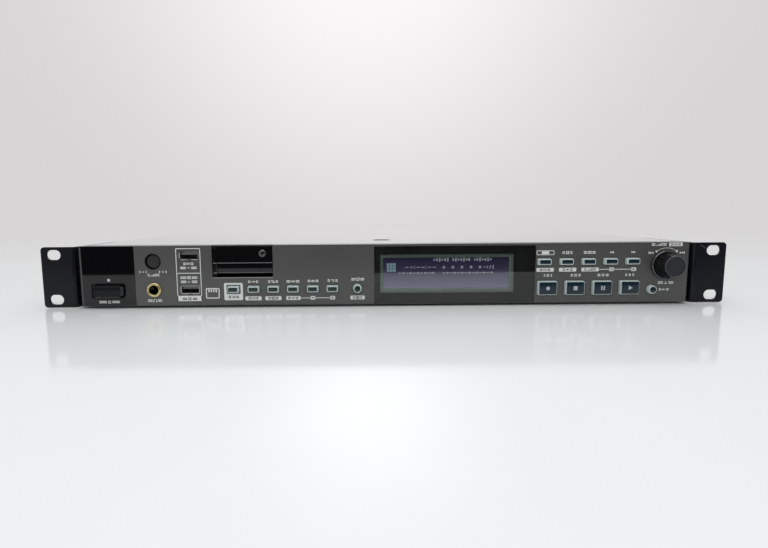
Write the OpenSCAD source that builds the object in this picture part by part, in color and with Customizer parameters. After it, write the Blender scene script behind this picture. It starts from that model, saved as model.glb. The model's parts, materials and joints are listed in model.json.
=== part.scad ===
// Rack recorder, one unit high: sheet steel case, moulded front with keys,
// sockets, card bay, display and jog knob. Millimetres, front towards -Y.

/* [Case] */
// outside width across the cover sides
case_w = 435; // [428:0.5:440]
// panel face to the back of the cover lip
case_d = 283; // [250:1:320]
// table to the top of the front panel
case_h = 44; // [43.6:0.1:44.4]
// feet below the tray
foot_h = 2; // [1.6:0.1:2.6]
// foot diameter
foot_dia = 20; // [14:1:24]
// steel sheet
sheet_t = 1; // [0.8:0.1:1.2]
// gap between sheets that slide over each other
sheet_gap = 0.2; // [0.1:0.05:0.3]
// cover top below the panel top
cover_drop = 0.5; // [0.3:0.1:0.8]
// height of the cover lip at the back
lip_h = 6.5; // [5:0.5:7]
// number of cooling slots on a side
vent_n = 14; // [6:1:18]

/* [Front panel] */
// panel width
panel_w = 427; // [424:0.5:430]
// panel height
panel_h = 42.5; // [42:0.1:42.8]
// front wall
panel_t = 3; // [2.6:0.1:3.6]
// depth of the rim behind the face
panel_d = 12; // [11:0.5:16]
// wall of the rim
rim_t = 1.8; // [1.4:0.1:2.2]
// bevel round the face
edge_c = 0.9; // [0.4:0.1:1.2]

/* [Rack ears] */
// width over both ears
rack_w = 482.6; // [482:0.1:483]
// ear height
ear_h = 42.8; // [42:0.1:43.6]
// ear plate
ear_t = 2; // [1.5:0.1:2.5]
// leg along the case side
leg_d = 62; // [50:1:80]
// slot spacing across
slot_dx = 465.1; // [464:0.1:466]
// slot spacing up
slot_dz = 31.75; // [31.5:0.05:32]
// slot length
slot_l = 10; // [9:0.5:11]
// slot width
slot_w = 7; // [6.4:0.1:7.2]

/* [Keys] */
// how far keys stand out
key_reach = 2.5; // [1.8:0.1:3.2]
// key stroke
key_travel = 0.8; // [0.5:0.1:1]
// gap round a key
key_gap = 0.3; // [0.2:0.05:0.4]
// pale edge round the dark face
key_rim = 0.8; // [0.6:0.1:1]
// edit key width
edit_w = 8.4; // [7.5:0.1:9]
// edit key height
edit_h = 5; // [4.5:0.1:5.6]
// edit key spacing
edit_pitch = 13.8; // [13:0.1:14.2]
// list key width
list_w = 9.6; // [8.5:0.1:10.4]
// list key height
list_h = 4.8; // [4.2:0.1:5.4]
// list key spacing
list_pitch = 15.5; // [14.6:0.1:15.9]
// transport key width
deck_w = 13.8; // [12.5:0.1:14.4]
// transport key height
deck_h = 10.2; // [9:0.1:10.8]
// transport key spacing
deck_pitch = 19.3; // [18.4:0.1:19.6]
// round key diameter
round_dia = 6.6; // [6:0.1:7]
// power key width
power_w = 20.6; // [18:0.1:21.4]
// power key height
power_h = 9.4; // [8:0.1:10]

/* [Knobs and sockets] */
// jog knob skirt diameter
jog_dia = 19.8; // [18:0.1:20.4]
// jog knob face diameter
jog_face = 14.2; // [13:0.1:15]
// jog knob front, from the panel face
jog_reach = 13; // [11:0.5:15]
// jog push stroke
jog_travel = 0.6; // [0.4:0.1:0.8]
// flutes round the jog knob
flute_n = 26; // [18:1:32]
// level knob diameter
level_dia = 9.8; // [9.2:0.1:10.2]
// level knob collar diameter
collar_dia = 11.4; // [11.2:0.1:12]
// level knob face behind the panel face
level_sink = 1.2; // [0.6:0.1:2]
// how far the level knob pops out
level_travel = 5.5; // [4:0.5:6]
// phones bore
jack_bore = 6.4; // [6.35:0.05:6.6]
// phones ring diameter
ring_dia = 10.4; // [10:0.1:11]
// USB shell width
usb_w = 13.1; // [12.9:0.1:13.3]
// USB shell height
usb_h = 5.7; // [5.6:0.1:5.9]

/* [Card bay and display] */
// card notch width
notch_w = 42.4; // [40:0.2:43]
// notch floor above mid-height
notch_floor = -0.4; // [-1:0.1:0.2]
// fold in the door above mid-height
door_fold = 9.4; // [8.6:0.1:10.2]
// lower edge of the door above mid-height
door_low = 2.4; // [2.2:0.1:3]
// display window width
window_w = 113; // [110:0.5:114]
// display window height
window_h = 40.4; // [38:0.2:40.6]
// window sheet
window_t = 2; // [1.6:0.1:2.2]
// display frame width
lcd_w = 94.3; // [92:0.1:95]
// display frame height
lcd_h = 27; // [26:0.1:28]
// visible width
view_w = 88.7; // [86:0.1:89]
// visible height
view_h = 21.7; // [20.5:0.1:22]

/* [Hidden] */
$fn = 64;
mid = case_h / 2;
panel_z1 = case_h;
panel_z0 = case_h - panel_h;
// widths that the front is laid out for: the display takes up what another case width gives
layout_case = 435;
layout_panel = 427;
half_w = (panel_w + case_w - layout_case) / 2;
stretch = 2 * half_w - layout_panel;
cover_z = case_h - cover_drop;
skirt_x = case_w / 2 - sheet_t;
tray_x = skirt_x - sheet_gap;
floor_z = foot_h + sheet_t;
back_y = case_d - sheet_t;
phono_reach = 9;
face_y = (jog_reach - case_d - phono_reach) / 2;
ear_y = panel_t;
bend_r = ear_t + 1;

key_seat = 0.2;
key_flange = 1;
key_lip = 1.2;
stem_dia = 3;
stem_gap = 0.15;
switch_s = 6;
switch_h = 4;
switch_y = panel_t + key_seat + key_flange + key_travel + 1;
board_y = switch_y + switch_h;
board_t = 1.6;

// left group from the left end of the panel, right group from the right end
power_x = 19.5 - half_w;
power_z = mid - 9.4;
power_travel = 1;
lamp_x = power_x + 0.4;
lamp_z = mid - 1.8;
lamp_s = 1.8;
level_x = 51.2 - half_w;
usb_x = level_x + 25.3;
card_x = usb_x + 37;
shift_x = card_x - 6.8;
edit_x = card_x + 7.4;
edit_z = mid - 8.9;
display_x = edit_x + 4 * edit_pitch + 17.6;
jog_x = half_w - 17.1;
list_x = jog_x - 85.2;
list_z = mid + 8.9;
deck_x = list_x + 2.4;
deck_z = mid - 9.6;
back_x = jog_x - 8.7;
back_z = mid - 11.2;

rect_keys = concat(
    [[shift_x, edit_z, edit_w, edit_h]],
    [for (i = [0:4]) [edit_x + i * edit_pitch, edit_z, edit_w, edit_h]],
    [for (i = [0:4]) [list_x + i * list_pitch, list_z, list_w, list_h]],
    [for (i = [0:3]) [deck_x + i * deck_pitch, deck_z, deck_w, deck_h]]);
round_keys = [[display_x, edit_z], [back_x, back_z]];
key_spots = concat([for (k = rect_keys) [k[0], k[1]]], round_keys);

fascia_x0 = -half_w + 1.6;
fascia_x1 = fascia_x0 + 36.8;
fascia_t = 2;
recess_t = 1.1;

level_z = mid + 11;
jack_x = level_x + 0.1;
jack_z = edit_z;
collar_t = (collar_dia - level_dia) / 2 - key_gap;
collar_d = 7;
stem_level = 5;
level_end = 7.2;
pot_y = 8.5;
carriage_y = pot_y + level_travel + 0.5;
socket_y = 22;
usb_z = [mid + 15.1, edit_z];
usb_wall = 0.4;

notch_x0 = card_x - notch_w / 2;
notch_x1 = card_x + notch_w / 2;
notch_z = mid + notch_floor;
door_x1 = notch_x1 - 0.4;
door_z1 = case_h - 0.4;
door_y0 = 0.4;
door_y1 = panel_t - 0.3;
lip_y = 1.7;
hinge_x = notch_x0 + 1.8;
hinge_y = 1.8;
hinge_r = 1.4;
trunnion = 1.6;
trunnion_h = 1.6;
lug_r = 1.6;
lug_z0 = mid + door_low - 0.2;
lug_z1 = case_h - 3;
door_c = 0.5;
screw_x = card_x + 14.1;
screw_z = mid + 16.2;
bay_d = 13;
bay_t = 1.2;
bay_back = panel_t + bay_d;
bay_z1 = panel_z1 - rim_t - 0.1;
slot_card = [25, 2.8];
card_slot_x = card_x - 4.2;
card_board_z = mid + 9.6;
card_board_w = 32;
card_board_d = 36;
socket_h = 3.6;
socket_d = 28;

glass_w = window_w + stretch;
window_x = display_x + 11.9 + glass_w / 2;
window_z = mid + 0.2;
frame_w = lcd_w + stretch;
lcd_x = window_x - 5.3;
lcd_z = mid + 1.1;
shown_w = view_w + stretch;
view_x = lcd_x - 0.6;
view_z = mid + 1.4;
lcd_tab = 5.5;
lcd_board_h = 37.4;
lcd_y0 = window_t + 0.3;
lcd_y1 = panel_t + 4.4;
lcd_lip = 0.6;

jog_z = mid + 6.2;
jog_shaft_dia = 6;
jog_bush = 8;
run_gap = 0.05;
jog_skirt = 1.4;
jog_seat = jog_travel + 0.4;

tab_x = half_w - 4.2;
tab_z = [mid - 12.5, mid + 12.5];
boss_dia = 6.4;
tab_hole = 3.4;
post_dia = 4.4;
low_post_z = mid - 15.4;
key_posts = [[card_x, low_post_z], [edit_x + 34.6, low_post_z], [display_x - 8.8, low_post_z],
    [list_x + 11.8, mid + 1.2], [list_x + 51.3, mid + 1.2], [jog_x - 13, mid + 16.6], [jog_x + 2.2, mid - 13],
    [power_x - 7.4, mid + 2.2], [power_x + 10.6, mid + 2.2]];
lcd_posts = [for (sx = [-1, 1], sz = [-1, 1])
    [lcd_x + sx * (frame_w / 2 + 3), window_z + sz * 16.2]];

// boards stand back from the tray sides and from the connectors
board_side = 10.3;
board_back = 32;
supply_w = 122;
supply_d = 130;
main_d = 140;
boards_gap = 24;
boards_y1 = back_y - board_back;
supply_x0 = board_side - tray_x;
main_x0 = supply_x0 + supply_w + boards_gap;
main_x1 = tray_x - board_side;
main_box = [main_x0, main_x1, boards_y1 - main_d, boards_y1];
supply_box = [supply_x0, supply_x0 + supply_w, boards_y1 - supply_d, boards_y1];
chip_h = 2.4;
tall_part = 24;
stand_h = 5;
stand_in = 6;
deck_level = floor_z + stand_h;
floor_posts = concat(
    [for (b = [main_box, supply_box], x = [b[0] + stand_in, b[1] - stand_in],
        y = [b[2] + stand_in, b[3] - stand_in]) [x, y]],
    [for (y = [main_box[2] + stand_in, main_box[3] - stand_in]) [(main_x0 + main_x1) / 2, y]]);

// connectors in order from the right-hand side of the tray, the inlet from the left
conn_z = foot_h + 18.4;
remote_z = mid;
pair_pitch = 27;
xlr_x1 = tray_x - 18.3;
xlr_in_x = [xlr_x1, xlr_x1 - pair_pitch, xlr_x1 - 142];
xlr_out_x = [xlr_x1 - 71, xlr_x1 - 71 - pair_pitch, xlr_x1 - 142 - pair_pitch];
phono_x = [xlr_x1 - 48.5, xlr_x1 - 119.5, xlr_x1 - 190.5];
phono_dz = 7.5;
dsub25_x = phono_x[2] - 34.5;
dsub9_x = dsub25_x - 44;
net_x = dsub9_x - 27;
inlet_x = 38.3 - tray_x;
inlet_z = mid;

leg_y = [16, 36, 54];
vent_y = 150;
vent_pitch = 7;
vent_w = 3;
vent_h = 16;
side_y = [vent_y, case_d - 38];
lip_x = [for (s = [-1, 1], k = [26.5, 156.5]) s * (skirt_x - k)];
foot_x = tray_x - 38.3;
foot_y = [38, case_d - 28];
fold_r = 1.6;
dish_y = 63;
dish_d = 2.2;

// depth is measured from the panel face
module at_face() {
    translate([0, face_y, 0]) children();
}

module bar(x0, x1, y0, y1, z0, z1) {
    translate([x0, y0, z0]) cube([x1 - x0, y1 - y0, z1 - z0]);
}

// cylinder along the depth
module pin(x, z, y0, y1, dia) {
    translate([x, y0, z]) rotate([-90, 0, 0]) cylinder(h = y1 - y0, d = dia);
}

// flat drawing of the front, pushed back from y0 to y1
module slab(y0, y1) {
    translate([0, y1, 0]) rotate([90, 0, 0]) linear_extrude(y1 - y0) children();
}

// drawing of the side, run from x0 to x1
module along(x0, x1) {
    translate([x0, 0, 0]) rotate([90, 0, 90]) linear_extrude(x1 - x0) children();
}

module round_rect(w, h, r) {
    square([w - 2 * r, h], center = true);
    square([w, h - 2 * r], center = true);
    for (sx = [-1, 1], sz = [-1, 1])
        translate([sx * (w / 2 - r), sz * (h / 2 - r)]) circle(r);
}

module cell(x, z, w, h, r, y0, y1) {
    slab(y0, y1) translate([x, z]) round_rect(w, h, r);
}

// turned ring or stud about the depth axis, profile as [radius, depth]
module turned(x, z, profile) {
    translate([x, 0, z]) rotate([-90, 0, 0]) rotate_extrude() polygon(profile);
}

// Case

module vents(x0, x1) {
    for (i = [0:vent_n - 1]) translate([0, vent_y + i * vent_pitch, mid])
        bar(x0, x1, 0, vent_w, -vent_h / 2, vent_h / 2);
}

// cross-section of a folded sheet, open below, with its two corners rounded
module channel(half, z0, z1, r) {
    difference() {
        capped(half, z0, z1, r);
        capped(half - sheet_t, z0 - 1, z1 - sheet_t, r - sheet_t);
    }
}

module capped(half, z0, z1, r) {
    translate([-half, z0]) square([2 * half, z1 - r - z0]);
    translate([r - half, z0]) square([2 * (half - r), z1 - z0]);
    for (s = [-1, 1]) translate([s * (half - r), z1 - r]) circle(r);
}

module side_holes(x0, x1, dia, ys, z) {
    for (y = ys)
        translate([x0, y, z]) rotate([0, 90, 0]) cylinder(h = x1 - x0, d = dia);
}

module both_sides() {
    children();
    mirror([1, 0, 0]) children();
}

module chassis_tray() {
    color("#9a9da0") at_face() difference() {
        union() {
            slab(panel_d, back_y) mirror([0, 1]) channel(tray_x, sheet_t + 1 - cover_z, -foot_h, fold_r);
            both_sides() bar(tab_x - 6, tray_x - fold_r, panel_d, panel_d + sheet_t, floor_z - 0.1, mid + 17);
            both_sides() bar(tab_x - 6, tray_x - 0.1, panel_d, panel_d + sheet_t, foot_h + fold_r, mid + 17);
        }
        both_sides() for (z = tab_z) pin(tab_x, z, panel_d - 1, panel_d + sheet_t + 1, tab_hole);
        both_sides() vents(tray_x - sheet_t - 1, tray_x + 1);
        both_sides() side_holes(tray_x - sheet_t - 1, tray_x + 1, 4.4, leg_y, mid);
        both_sides() side_holes(tray_x - sheet_t - 1, tray_x + 1, 3.4, side_y, mid + 12);
    }
}

module top_cover() {
    color("#26272b") at_face() difference() {
        union() {
            slab(panel_d + sheet_gap, case_d) channel(skirt_x + sheet_t, floor_z, cover_z, fold_r);
            bar(-skirt_x, skirt_x, back_y, case_d, cover_z - lip_h, cover_z - sheet_t / 2);
            translate([0, dish_y, cover_z - dish_d - sheet_t])
                cylinder(h = dish_d + sheet_t, d1 = 12, d2 = 18);
        }
        translate([0, dish_y, cover_z - dish_d]) cylinder(h = dish_d + 0.01, d1 = 10, d2 = 16);
        translate([0, dish_y, cover_z - dish_d - sheet_t - 1]) cylinder(h = 4, d = 3.4);
        both_sides() vents(skirt_x - 1, skirt_x + sheet_t + 1);
        both_sides() side_holes(skirt_x - 1, skirt_x + sheet_t + 1, 4.4, leg_y, mid);
        both_sides() side_holes(skirt_x - 1, skirt_x + sheet_t + 1, 3.4, side_y, mid + 12);
        for (x = lip_x) pin(x, cover_z - lip_h / 2, back_y - 1, case_d + 1, 3.4);
        along(-case_w, case_w) translate([case_d - sheet_t, cover_z - sheet_t]) difference() {
            square(sheet_t + 1);
            circle(sheet_t);
        }
    }
}

module rear_panel() {
    flange = 9;
    rear_x = tray_x - fold_r;
    color("#2a2b2f") at_face() difference() {
        union() {
            bar(-rear_x, rear_x, back_y - sheet_t, back_y, floor_z, cover_z - sheet_t - sheet_gap);
            bar(-rear_x, rear_x, back_y - flange, back_y, floor_z, floor_z + sheet_t);
        }
        for (x = concat(xlr_in_x, xlr_out_x)) pin(x, conn_z, back_y - 3, back_y + 1, 24);
        for (x = phono_x, s = [-1, 1]) pin(x, remote_z + s * phono_dz, back_y - 3, back_y + 1, 9.4);
        cell(inlet_x, inlet_z, 28.4, 20.8, 2, back_y - 3, back_y + 1);
        cell(dsub25_x, remote_z, 41, 10.8, 2, back_y - 3, back_y + 1);
        cell(dsub9_x, remote_z, 19, 10.8, 2, back_y - 3, back_y + 1);
        cell(net_x, remote_z, 16.6, 14.6, 0.5, back_y - 3, back_y + 1);
        for (x = lip_x) pin(x, cover_z - lip_h / 2, back_y - 3, back_y + 1, 3.4);
    }
}

module screw_head(len, dia, head) {
    difference() {
        union() {
            cylinder(h = len, d = dia);
            translate([0, 0, -head * 0.32]) cylinder(h = head * 0.32, d1 = head * 0.8, d2 = head);
        }
        for (a = [0, 90]) rotate(a)
            translate([-head * 0.28, -head * 0.06, -head]) cube([head * 0.56, head * 0.12, head * 0.85]);
    }
}

module case_screws() {
    color("#1c1c1e") at_face() {
        both_sides() for (y = leg_y)
            translate([skirt_x + sheet_t + ear_t, y, mid]) rotate([0, -90, 0])
                screw_head(ear_t + sheet_t + sheet_gap + sheet_t + 2, 4, 7.4);
        both_sides() for (y = side_y)
            translate([skirt_x + sheet_t, y, mid + 12]) rotate([0, -90, 0])
                screw_head(sheet_t + sheet_gap + sheet_t + 2, 3, 5.6);
        for (x = lip_x)
            translate([x, case_d, cover_z - lip_h / 2]) rotate([90, 0, 0])
                screw_head(sheet_t * 2 + 2, 3, 5.4);
        translate([0, dish_y, cover_z - dish_d]) rotate([180, 0, 0]) screw_head(sheet_t + 4, 3, 6);
        both_sides() for (z = tab_z)
            translate([tab_x, panel_d + sheet_t, z]) rotate([90, 0, 0])
                screw_head(panel_d - panel_t - 1, 3, 5.4);
    }
}

module feet() {
    color("#151516") at_face()
        for (s = [-1, 1], y = foot_y)
            translate([s * foot_x, y, 0]) cylinder(h = foot_h, d1 = foot_dia - 2, d2 = foot_dia);
}

module ear_right() {
    color("#17181d") at_face() ear();
}

module ear_left() {
    color("#17181d") at_face() mirror([1, 0, 0]) ear();
}

module ear() {
    x0 = skirt_x + sheet_t;
    x1 = rack_w / 2;
    difference() {
        translate([0, 0, mid - ear_h / 2]) linear_extrude(ear_h) {
            translate([x0 + bend_r, ear_y]) square([x1 - x0 - bend_r, ear_t]);
            translate([x0, ear_y + bend_r]) square([ear_t, leg_d - bend_r]);
            translate([x0 + bend_r, ear_y + bend_r]) intersection() {
                difference() {
                    circle(bend_r);
                    circle(bend_r - ear_t);
                }
                translate([-bend_r, -bend_r]) square(bend_r);
            }
        }
        for (s = [-1, 1]) {
            cell(slot_dx / 2, mid + s * slot_dz / 2, slot_l, slot_w, slot_w / 2 - 0.01,
                ear_y - 1, ear_y + ear_t + 1);
            ear_corner(x1, s);
        }
        side_holes(x0 - 1, x0 + ear_t + 1, 4.4, leg_y, mid);
    }
}

module ear_corner(x1, s) {
    r = 2.5;
    slab(ear_y - 1, ear_y + ear_t + 1) translate([x1, mid + s * ear_h / 2]) scale([1, s]) difference() {
        translate([-r, -r]) square(r + 1);
        translate([-r, -r]) circle(r);
    }
}

// Front panel

module panel_block() {
    c = edge_c;
    intersection() {
        along(-half_w, half_w) polygon([[c, panel_z0], [0, panel_z0 + c], [0, panel_z1 - c],
            [c, panel_z1], [panel_d, panel_z1], [panel_d, panel_z0]]);
        linear_extrude(case_h + 1) polygon([[c - half_w, 0], [half_w - c, 0], [half_w, c],
            [half_w, panel_d], [-half_w, panel_d], [-half_w, c]]);
    }
}

module key_holes(y0, y1) {
    for (k = rect_keys)
        cell(k[0], k[1], k[2] + 2 * key_gap, k[3] + 2 * key_gap, 0.9 + key_gap, y0, y1);
    for (k = round_keys) pin(k[0], k[1], y0, y1, round_dia + 2 * key_gap);
}

module power_hole(y0, y1) {
    cell(power_x, power_z, power_w + 2 * key_gap, power_h + 2 * key_gap, 1.2 + key_gap, y0, y1);
}

module front_panel() {
    through = panel_t + 1;
    color("#4b4b4d") at_face() difference() {
        union() {
            difference() {
                panel_block();
                bar(rim_t - half_w, half_w - rim_t, panel_t, panel_d + 1, panel_z0 + rim_t, panel_z1 - rim_t);
            }
            both_sides() for (z = tab_z) pin(tab_x, z, panel_t - 1, panel_d, boss_dia);
        }
        both_sides() for (z = tab_z) pin(tab_x, z, panel_t, panel_d + 1, tab_hole);
        bar(fascia_x0, fascia_x1, -1, fascia_t, panel_z0 + 0.6, panel_z1 - 0.6);
        power_hole(-1, through);
        slab(-1, through) translate([lamp_x, lamp_z]) square(lamp_s + 0.4, center = true);
        pin(level_x, level_z, -1, through, collar_dia + 0.1);
        pin(jack_x, jack_z, -1, through, ring_dia - 1.1);
        for (z = usb_z) cell(usb_x, z, usb_w + 0.6, usb_h + 0.6, 0.6, -1, through);
        bar(notch_x0, notch_x1, -1, panel_t, notch_z, panel_z1 + 1);
        cell(window_x, window_z, glass_w + 0.2, window_h + 0.2, 0.8, -1, window_t);
        cell(lcd_x, lcd_z, frame_w + 0.6, lcd_h + 0.6, 0.8, -1, through);
        key_holes(-1, through);
        pin(jog_x, jog_z, -1, through, jog_bush + 0.4);
    }
}

module power_fascia() {
    color("#0c0c0e") at_face() difference() {
        bar(fascia_x0 + 0.1, fascia_x1 - 0.1, 0, fascia_t, panel_z0 + 0.7, panel_z1 - 0.7);
        power_hole(-1, fascia_t + 1);
        cell(power_x + 0.1, power_z, power_w + 3.4, power_h + 1.8, 1.8, -1, recess_t);
        slab(-1, fascia_t + 1) translate([lamp_x, lamp_z]) square(lamp_s + 0.2, center = true);
    }
}

module power_lamp() {
    color("#f2f4f6") at_face() slab(-0.1, board_y) translate([lamp_x, lamp_z]) square(lamp_s, center = true);
}

module display_window() {
    color("#0a0a0c") at_face() cell(window_x, window_z, glass_w, window_h, 0.7, 0, window_t);
}

module lcd_frame() {
    color("#c2c5ca") at_face() difference() {
        cell(lcd_x, lcd_z, frame_w, lcd_h, 0.8, lcd_y0, lcd_y1);
        slab(lcd_y0 - 1, lcd_y1) translate([view_x, view_z]) square([shown_w, view_h], center = true);
        slab(lcd_y0 + lcd_lip, lcd_y1 + 1) translate([lcd_x, lcd_z])
            square([frame_w - 2, lcd_h - 2], center = true);
    }
}

module lcd_panel() {
    color("#6a6a9a") at_face() slab(lcd_y0 + lcd_lip, lcd_y1) translate([lcd_x, lcd_z])
        square([frame_w - 2.2, lcd_h - 2.2], center = true);
}

module lcd_board() {
    color("#1f5a38") at_face() slab(lcd_y1, lcd_y1 + board_t) translate([lcd_x, window_z])
        square([frame_w + 2 * lcd_tab, lcd_board_h], center = true);
}

// Keys

module key_stem(y0) {
    pin(0, 0, y0, switch_y + 2, stem_dia);
}

module rect_key(k) {
    w = k[2];
    h = k[3];
    draft = 0.3;
    y0 = panel_t + key_seat;
    translate([k[0], 0, k[1]]) {
        hull() {
            cell(0, 0, w, h, 0.9, -0.3, 0, $fn = 32);
            cell(0, 0, w - 2 * draft, h - 2 * draft, 0.9, 0.25 - key_reach, 0.3 - key_reach, $fn = 32);
            cell(0, 0, w - 2 * draft - 0.5, h - 2 * draft - 0.5, 0.7, -key_reach, 0.05 - key_reach, $fn = 32);
        }
        cell(0, 0, w, h, 0.9, 0, y0 + 0.1, $fn = 32);
        cell(0, 0, w - 2 * key_rim, h - 2 * key_rim, 0.5, -key_reach - 0.2, -key_reach + 0.1, $fn = 32);
        slab(y0, y0 + key_flange) square([w + 2 * key_lip, h + 2 * key_lip], center = true);
        key_stem(y0 + key_flange);
    }
}

module round_key(k) {
    r = round_dia / 2;
    y0 = panel_t + key_seat;
    y1 = y0 + key_flange;
    face = r - key_rim - 0.3;
    translate([k[0], 0, k[1]]) {
        turned(0, 0, [[0, -key_reach - 0.2], [face, -key_reach - 0.2], [face, -key_reach],
            [r - 0.65, -key_reach], [r - 0.4, 0.3 - key_reach], [r, 0], [r, y0],
            [r + key_lip, y0], [r + key_lip, y1], [0, y1]]);
        key_stem(y1);
    }
}

module shift_button() { color("#b9c6c6") at_face() rect_key(rect_keys[0]); }
module move_button() { color("#b9c6c6") at_face() rect_key(rect_keys[1]); }
module copy_button() { color("#b9c6c6") at_face() rect_key(rect_keys[2]); }
module combine_button() { color("#b9c6c6") at_face() rect_key(rect_keys[3]); }
module divide_button() { color("#b9c6c6") at_face() rect_key(rect_keys[4]); }
module undo_button() { color("#b9c6c6") at_face() rect_key(rect_keys[5]); }
module list_button() { color("#b9c6c6") at_face() rect_key(rect_keys[6]); }
module menu_button() { color("#b9c6c6") at_face() rect_key(rect_keys[7]); }
module frame_button() { color("#b9c6c6") at_face() rect_key(rect_keys[8]); }
module rewind_button() { color("#b9c6c6") at_face() rect_key(rect_keys[9]); }
module forward_button() { color("#b9c6c6") at_face() rect_key(rect_keys[10]); }
module record_button() { color("#b9c6c6") at_face() rect_key(rect_keys[11]); }
module stop_button() { color("#b9c6c6") at_face() rect_key(rect_keys[12]); }
module pause_button() { color("#b9c6c6") at_face() rect_key(rect_keys[13]); }
module play_button() { color("#b9c6c6") at_face() rect_key(rect_keys[14]); }
module display_button() { color("#b9c6c6") at_face() round_key(round_keys[0]); }
module back_button() { color("#b9c6c6") at_face() round_key(round_keys[1]); }

module power_button() {
    y0 = panel_t + key_seat;
    front = -key_reach - 0.7;
    bulge_r = 30;
    color("#8d9499") at_face() translate([power_x, 0, power_z]) {
        intersection() {
            union() {
                hull() {
                    cell(0, 0, power_w, power_h, 1.2, -0.3, 0, $fn = 32);
                    cell(0, 0, power_w - 1.6, power_h - 1.4, 1.2, front, front + 0.1, $fn = 32);
                }
                cell(0, 0, power_w, power_h, 1.2, 0, y0 + 0.1, $fn = 32);
            }
            translate([-power_w, front + bulge_r, 0]) rotate([0, 90, 0])
                cylinder(h = 2 * power_w, r = bulge_r, $fn = 200);
        }
        slab(y0, y0 + key_flange) square([power_w + 2 * key_lip, power_h + 2 * key_lip], center = true);
        key_stem(y0 + key_flange);
    }
}

module key_switches() {
    color("#202226") at_face() for (k = concat(key_spots, [[power_x, power_z]]))
        translate([k[0], 0, k[1]]) difference() {
            slab(switch_y + (k[0] == power_x ? power_travel - key_travel + key_seat : 0), board_y)
                square(switch_s, center = true);
            pin(0, 0, switch_y - 1, board_y - 0.3, stem_dia + 2 * stem_gap);
        }
}

module key_boards() {
    color("#1f5a38") at_face() {
        bar(shift_x - 9.2, display_x + 5.8, board_y, board_y + board_t, mid - 18, mid - 2);
        bar(list_x - 5.6, tab_x - boss_dia / 2 - 0.5, board_y, board_y + board_t, mid - 18, mid + 19);
        bar(power_x - 10, power_x + 15, board_y, board_y + board_t, mid - 17, mid + 6);
    }
}

module board_posts() {
    color("#b8a25c") at_face() {
        for (p = key_posts) pin(p[0], p[1], panel_t, board_y, post_dia);
        for (p = lcd_posts) pin(p[0], p[1], panel_t, lcd_y1, post_dia);
        for (p = floor_posts) translate([p[0], p[1], floor_z]) cylinder(h = stand_h, d = 6, $fn = 6);
    }
}

// Level knob, phones and USB

module level_collar() {
    color("#0c0c0e") at_face() difference() {
        union() {
            pin(level_x, level_z, 0.1, collar_d, collar_dia);
            pin(level_x, level_z, panel_t, panel_t + 1.2, collar_dia + 3);
        }
        pin(level_x, level_z, -1, collar_d + 1, collar_dia - 2 * collar_t);
    }
}

module level_knob() {
    r = level_dia / 2;
    lobes = 18;
    color("#3a4a52") at_face() translate([level_x, 0, level_z]) {
        turned(0, 0, [[0, level_sink], [r - 0.6, level_sink], [r, level_sink + 0.5],
            [r, level_sink + 1.4], [0, level_sink + 1.4]]);
        slab(level_sink + 1.2, level_end) polygon([for (i = [0:lobes * 4 - 1]) let (a = i * 90 / lobes,
            q = r - 0.08 - 0.2 * (1 - cos(a * lobes)) / 2) [q * cos(a), q * sin(a)]]);
        pin(0, 0, level_end, carriage_y, stem_level);
    }
}

module level_carriage() {
    color("#d8d8d4") at_face() pin(level_x, level_z, carriage_y + 0.1, carriage_y + 1.1, stem_level);
}

module level_pot() {
    color("#5d6166") at_face() difference() {
        union() {
            pin(level_x, level_z, pot_y, pot_y + 3, 9);
            bar(level_x - 6.5, level_x + 6.5, pot_y + 2, socket_y, level_z - 6.5, level_z + 6.5);
        }
        pin(level_x, level_z, pot_y - 1, socket_y - 1, stem_level + 2 * run_gap);
    }
}

module phones_jack() {
    color("#18181a") at_face() difference() {
        union() {
            bar(jack_x - 7.6, jack_x + 7.6, panel_t, socket_y, jack_z - 7, jack_z + 7);
            pin(jack_x, jack_z, 0, panel_t + 1, ring_dia - 1.3);
        }
        pin(jack_x, jack_z, -1, socket_y - 1.5, jack_bore);
    }
}

module phones_ring() {
    r = ring_dia / 2;
    q = jack_bore / 2 + 0.1;
    color("#d8b868") at_face() turned(jack_x, jack_z, [[q, 0], [r, 0], [r, -0.7], [r - 0.4, -1.3],
        [r - 1, -1.6], [q + 0.5, -1.6], [q, -1.2]]);
}

module usb_shells() {
    color("#b9bcc0") at_face() for (z = usb_z) difference() {
        cell(usb_x, z, usb_w, usb_h, 0.5, 0.3, socket_y);
        slab(-1, socket_y - 1) translate([usb_x, z])
            square([usb_w - 2 * usb_wall, usb_h - 2 * usb_wall], center = true);
    }
}

module usb_tongues() {
    color("#1b1b1d") at_face() for (z = usb_z) {
        bar(usb_x - 5.6, usb_x + 5.6, 1.6, socket_y - 1, z + 0.5, z + 2.3);
        bar(usb_x - usb_w / 2 + usb_wall, usb_x + usb_w / 2 - usb_wall, socket_y - 6, socket_y - 1,
            z - usb_h / 2 + usb_wall, z + usb_h / 2 - usb_wall);
    }
}

module socket_board() {
    color("#1f5a38") at_face() bar(level_x - 9.7, usb_x + 9, socket_y, socket_y + board_t,
        mid - 17.5, mid + 19);
}

// Card bay

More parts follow.
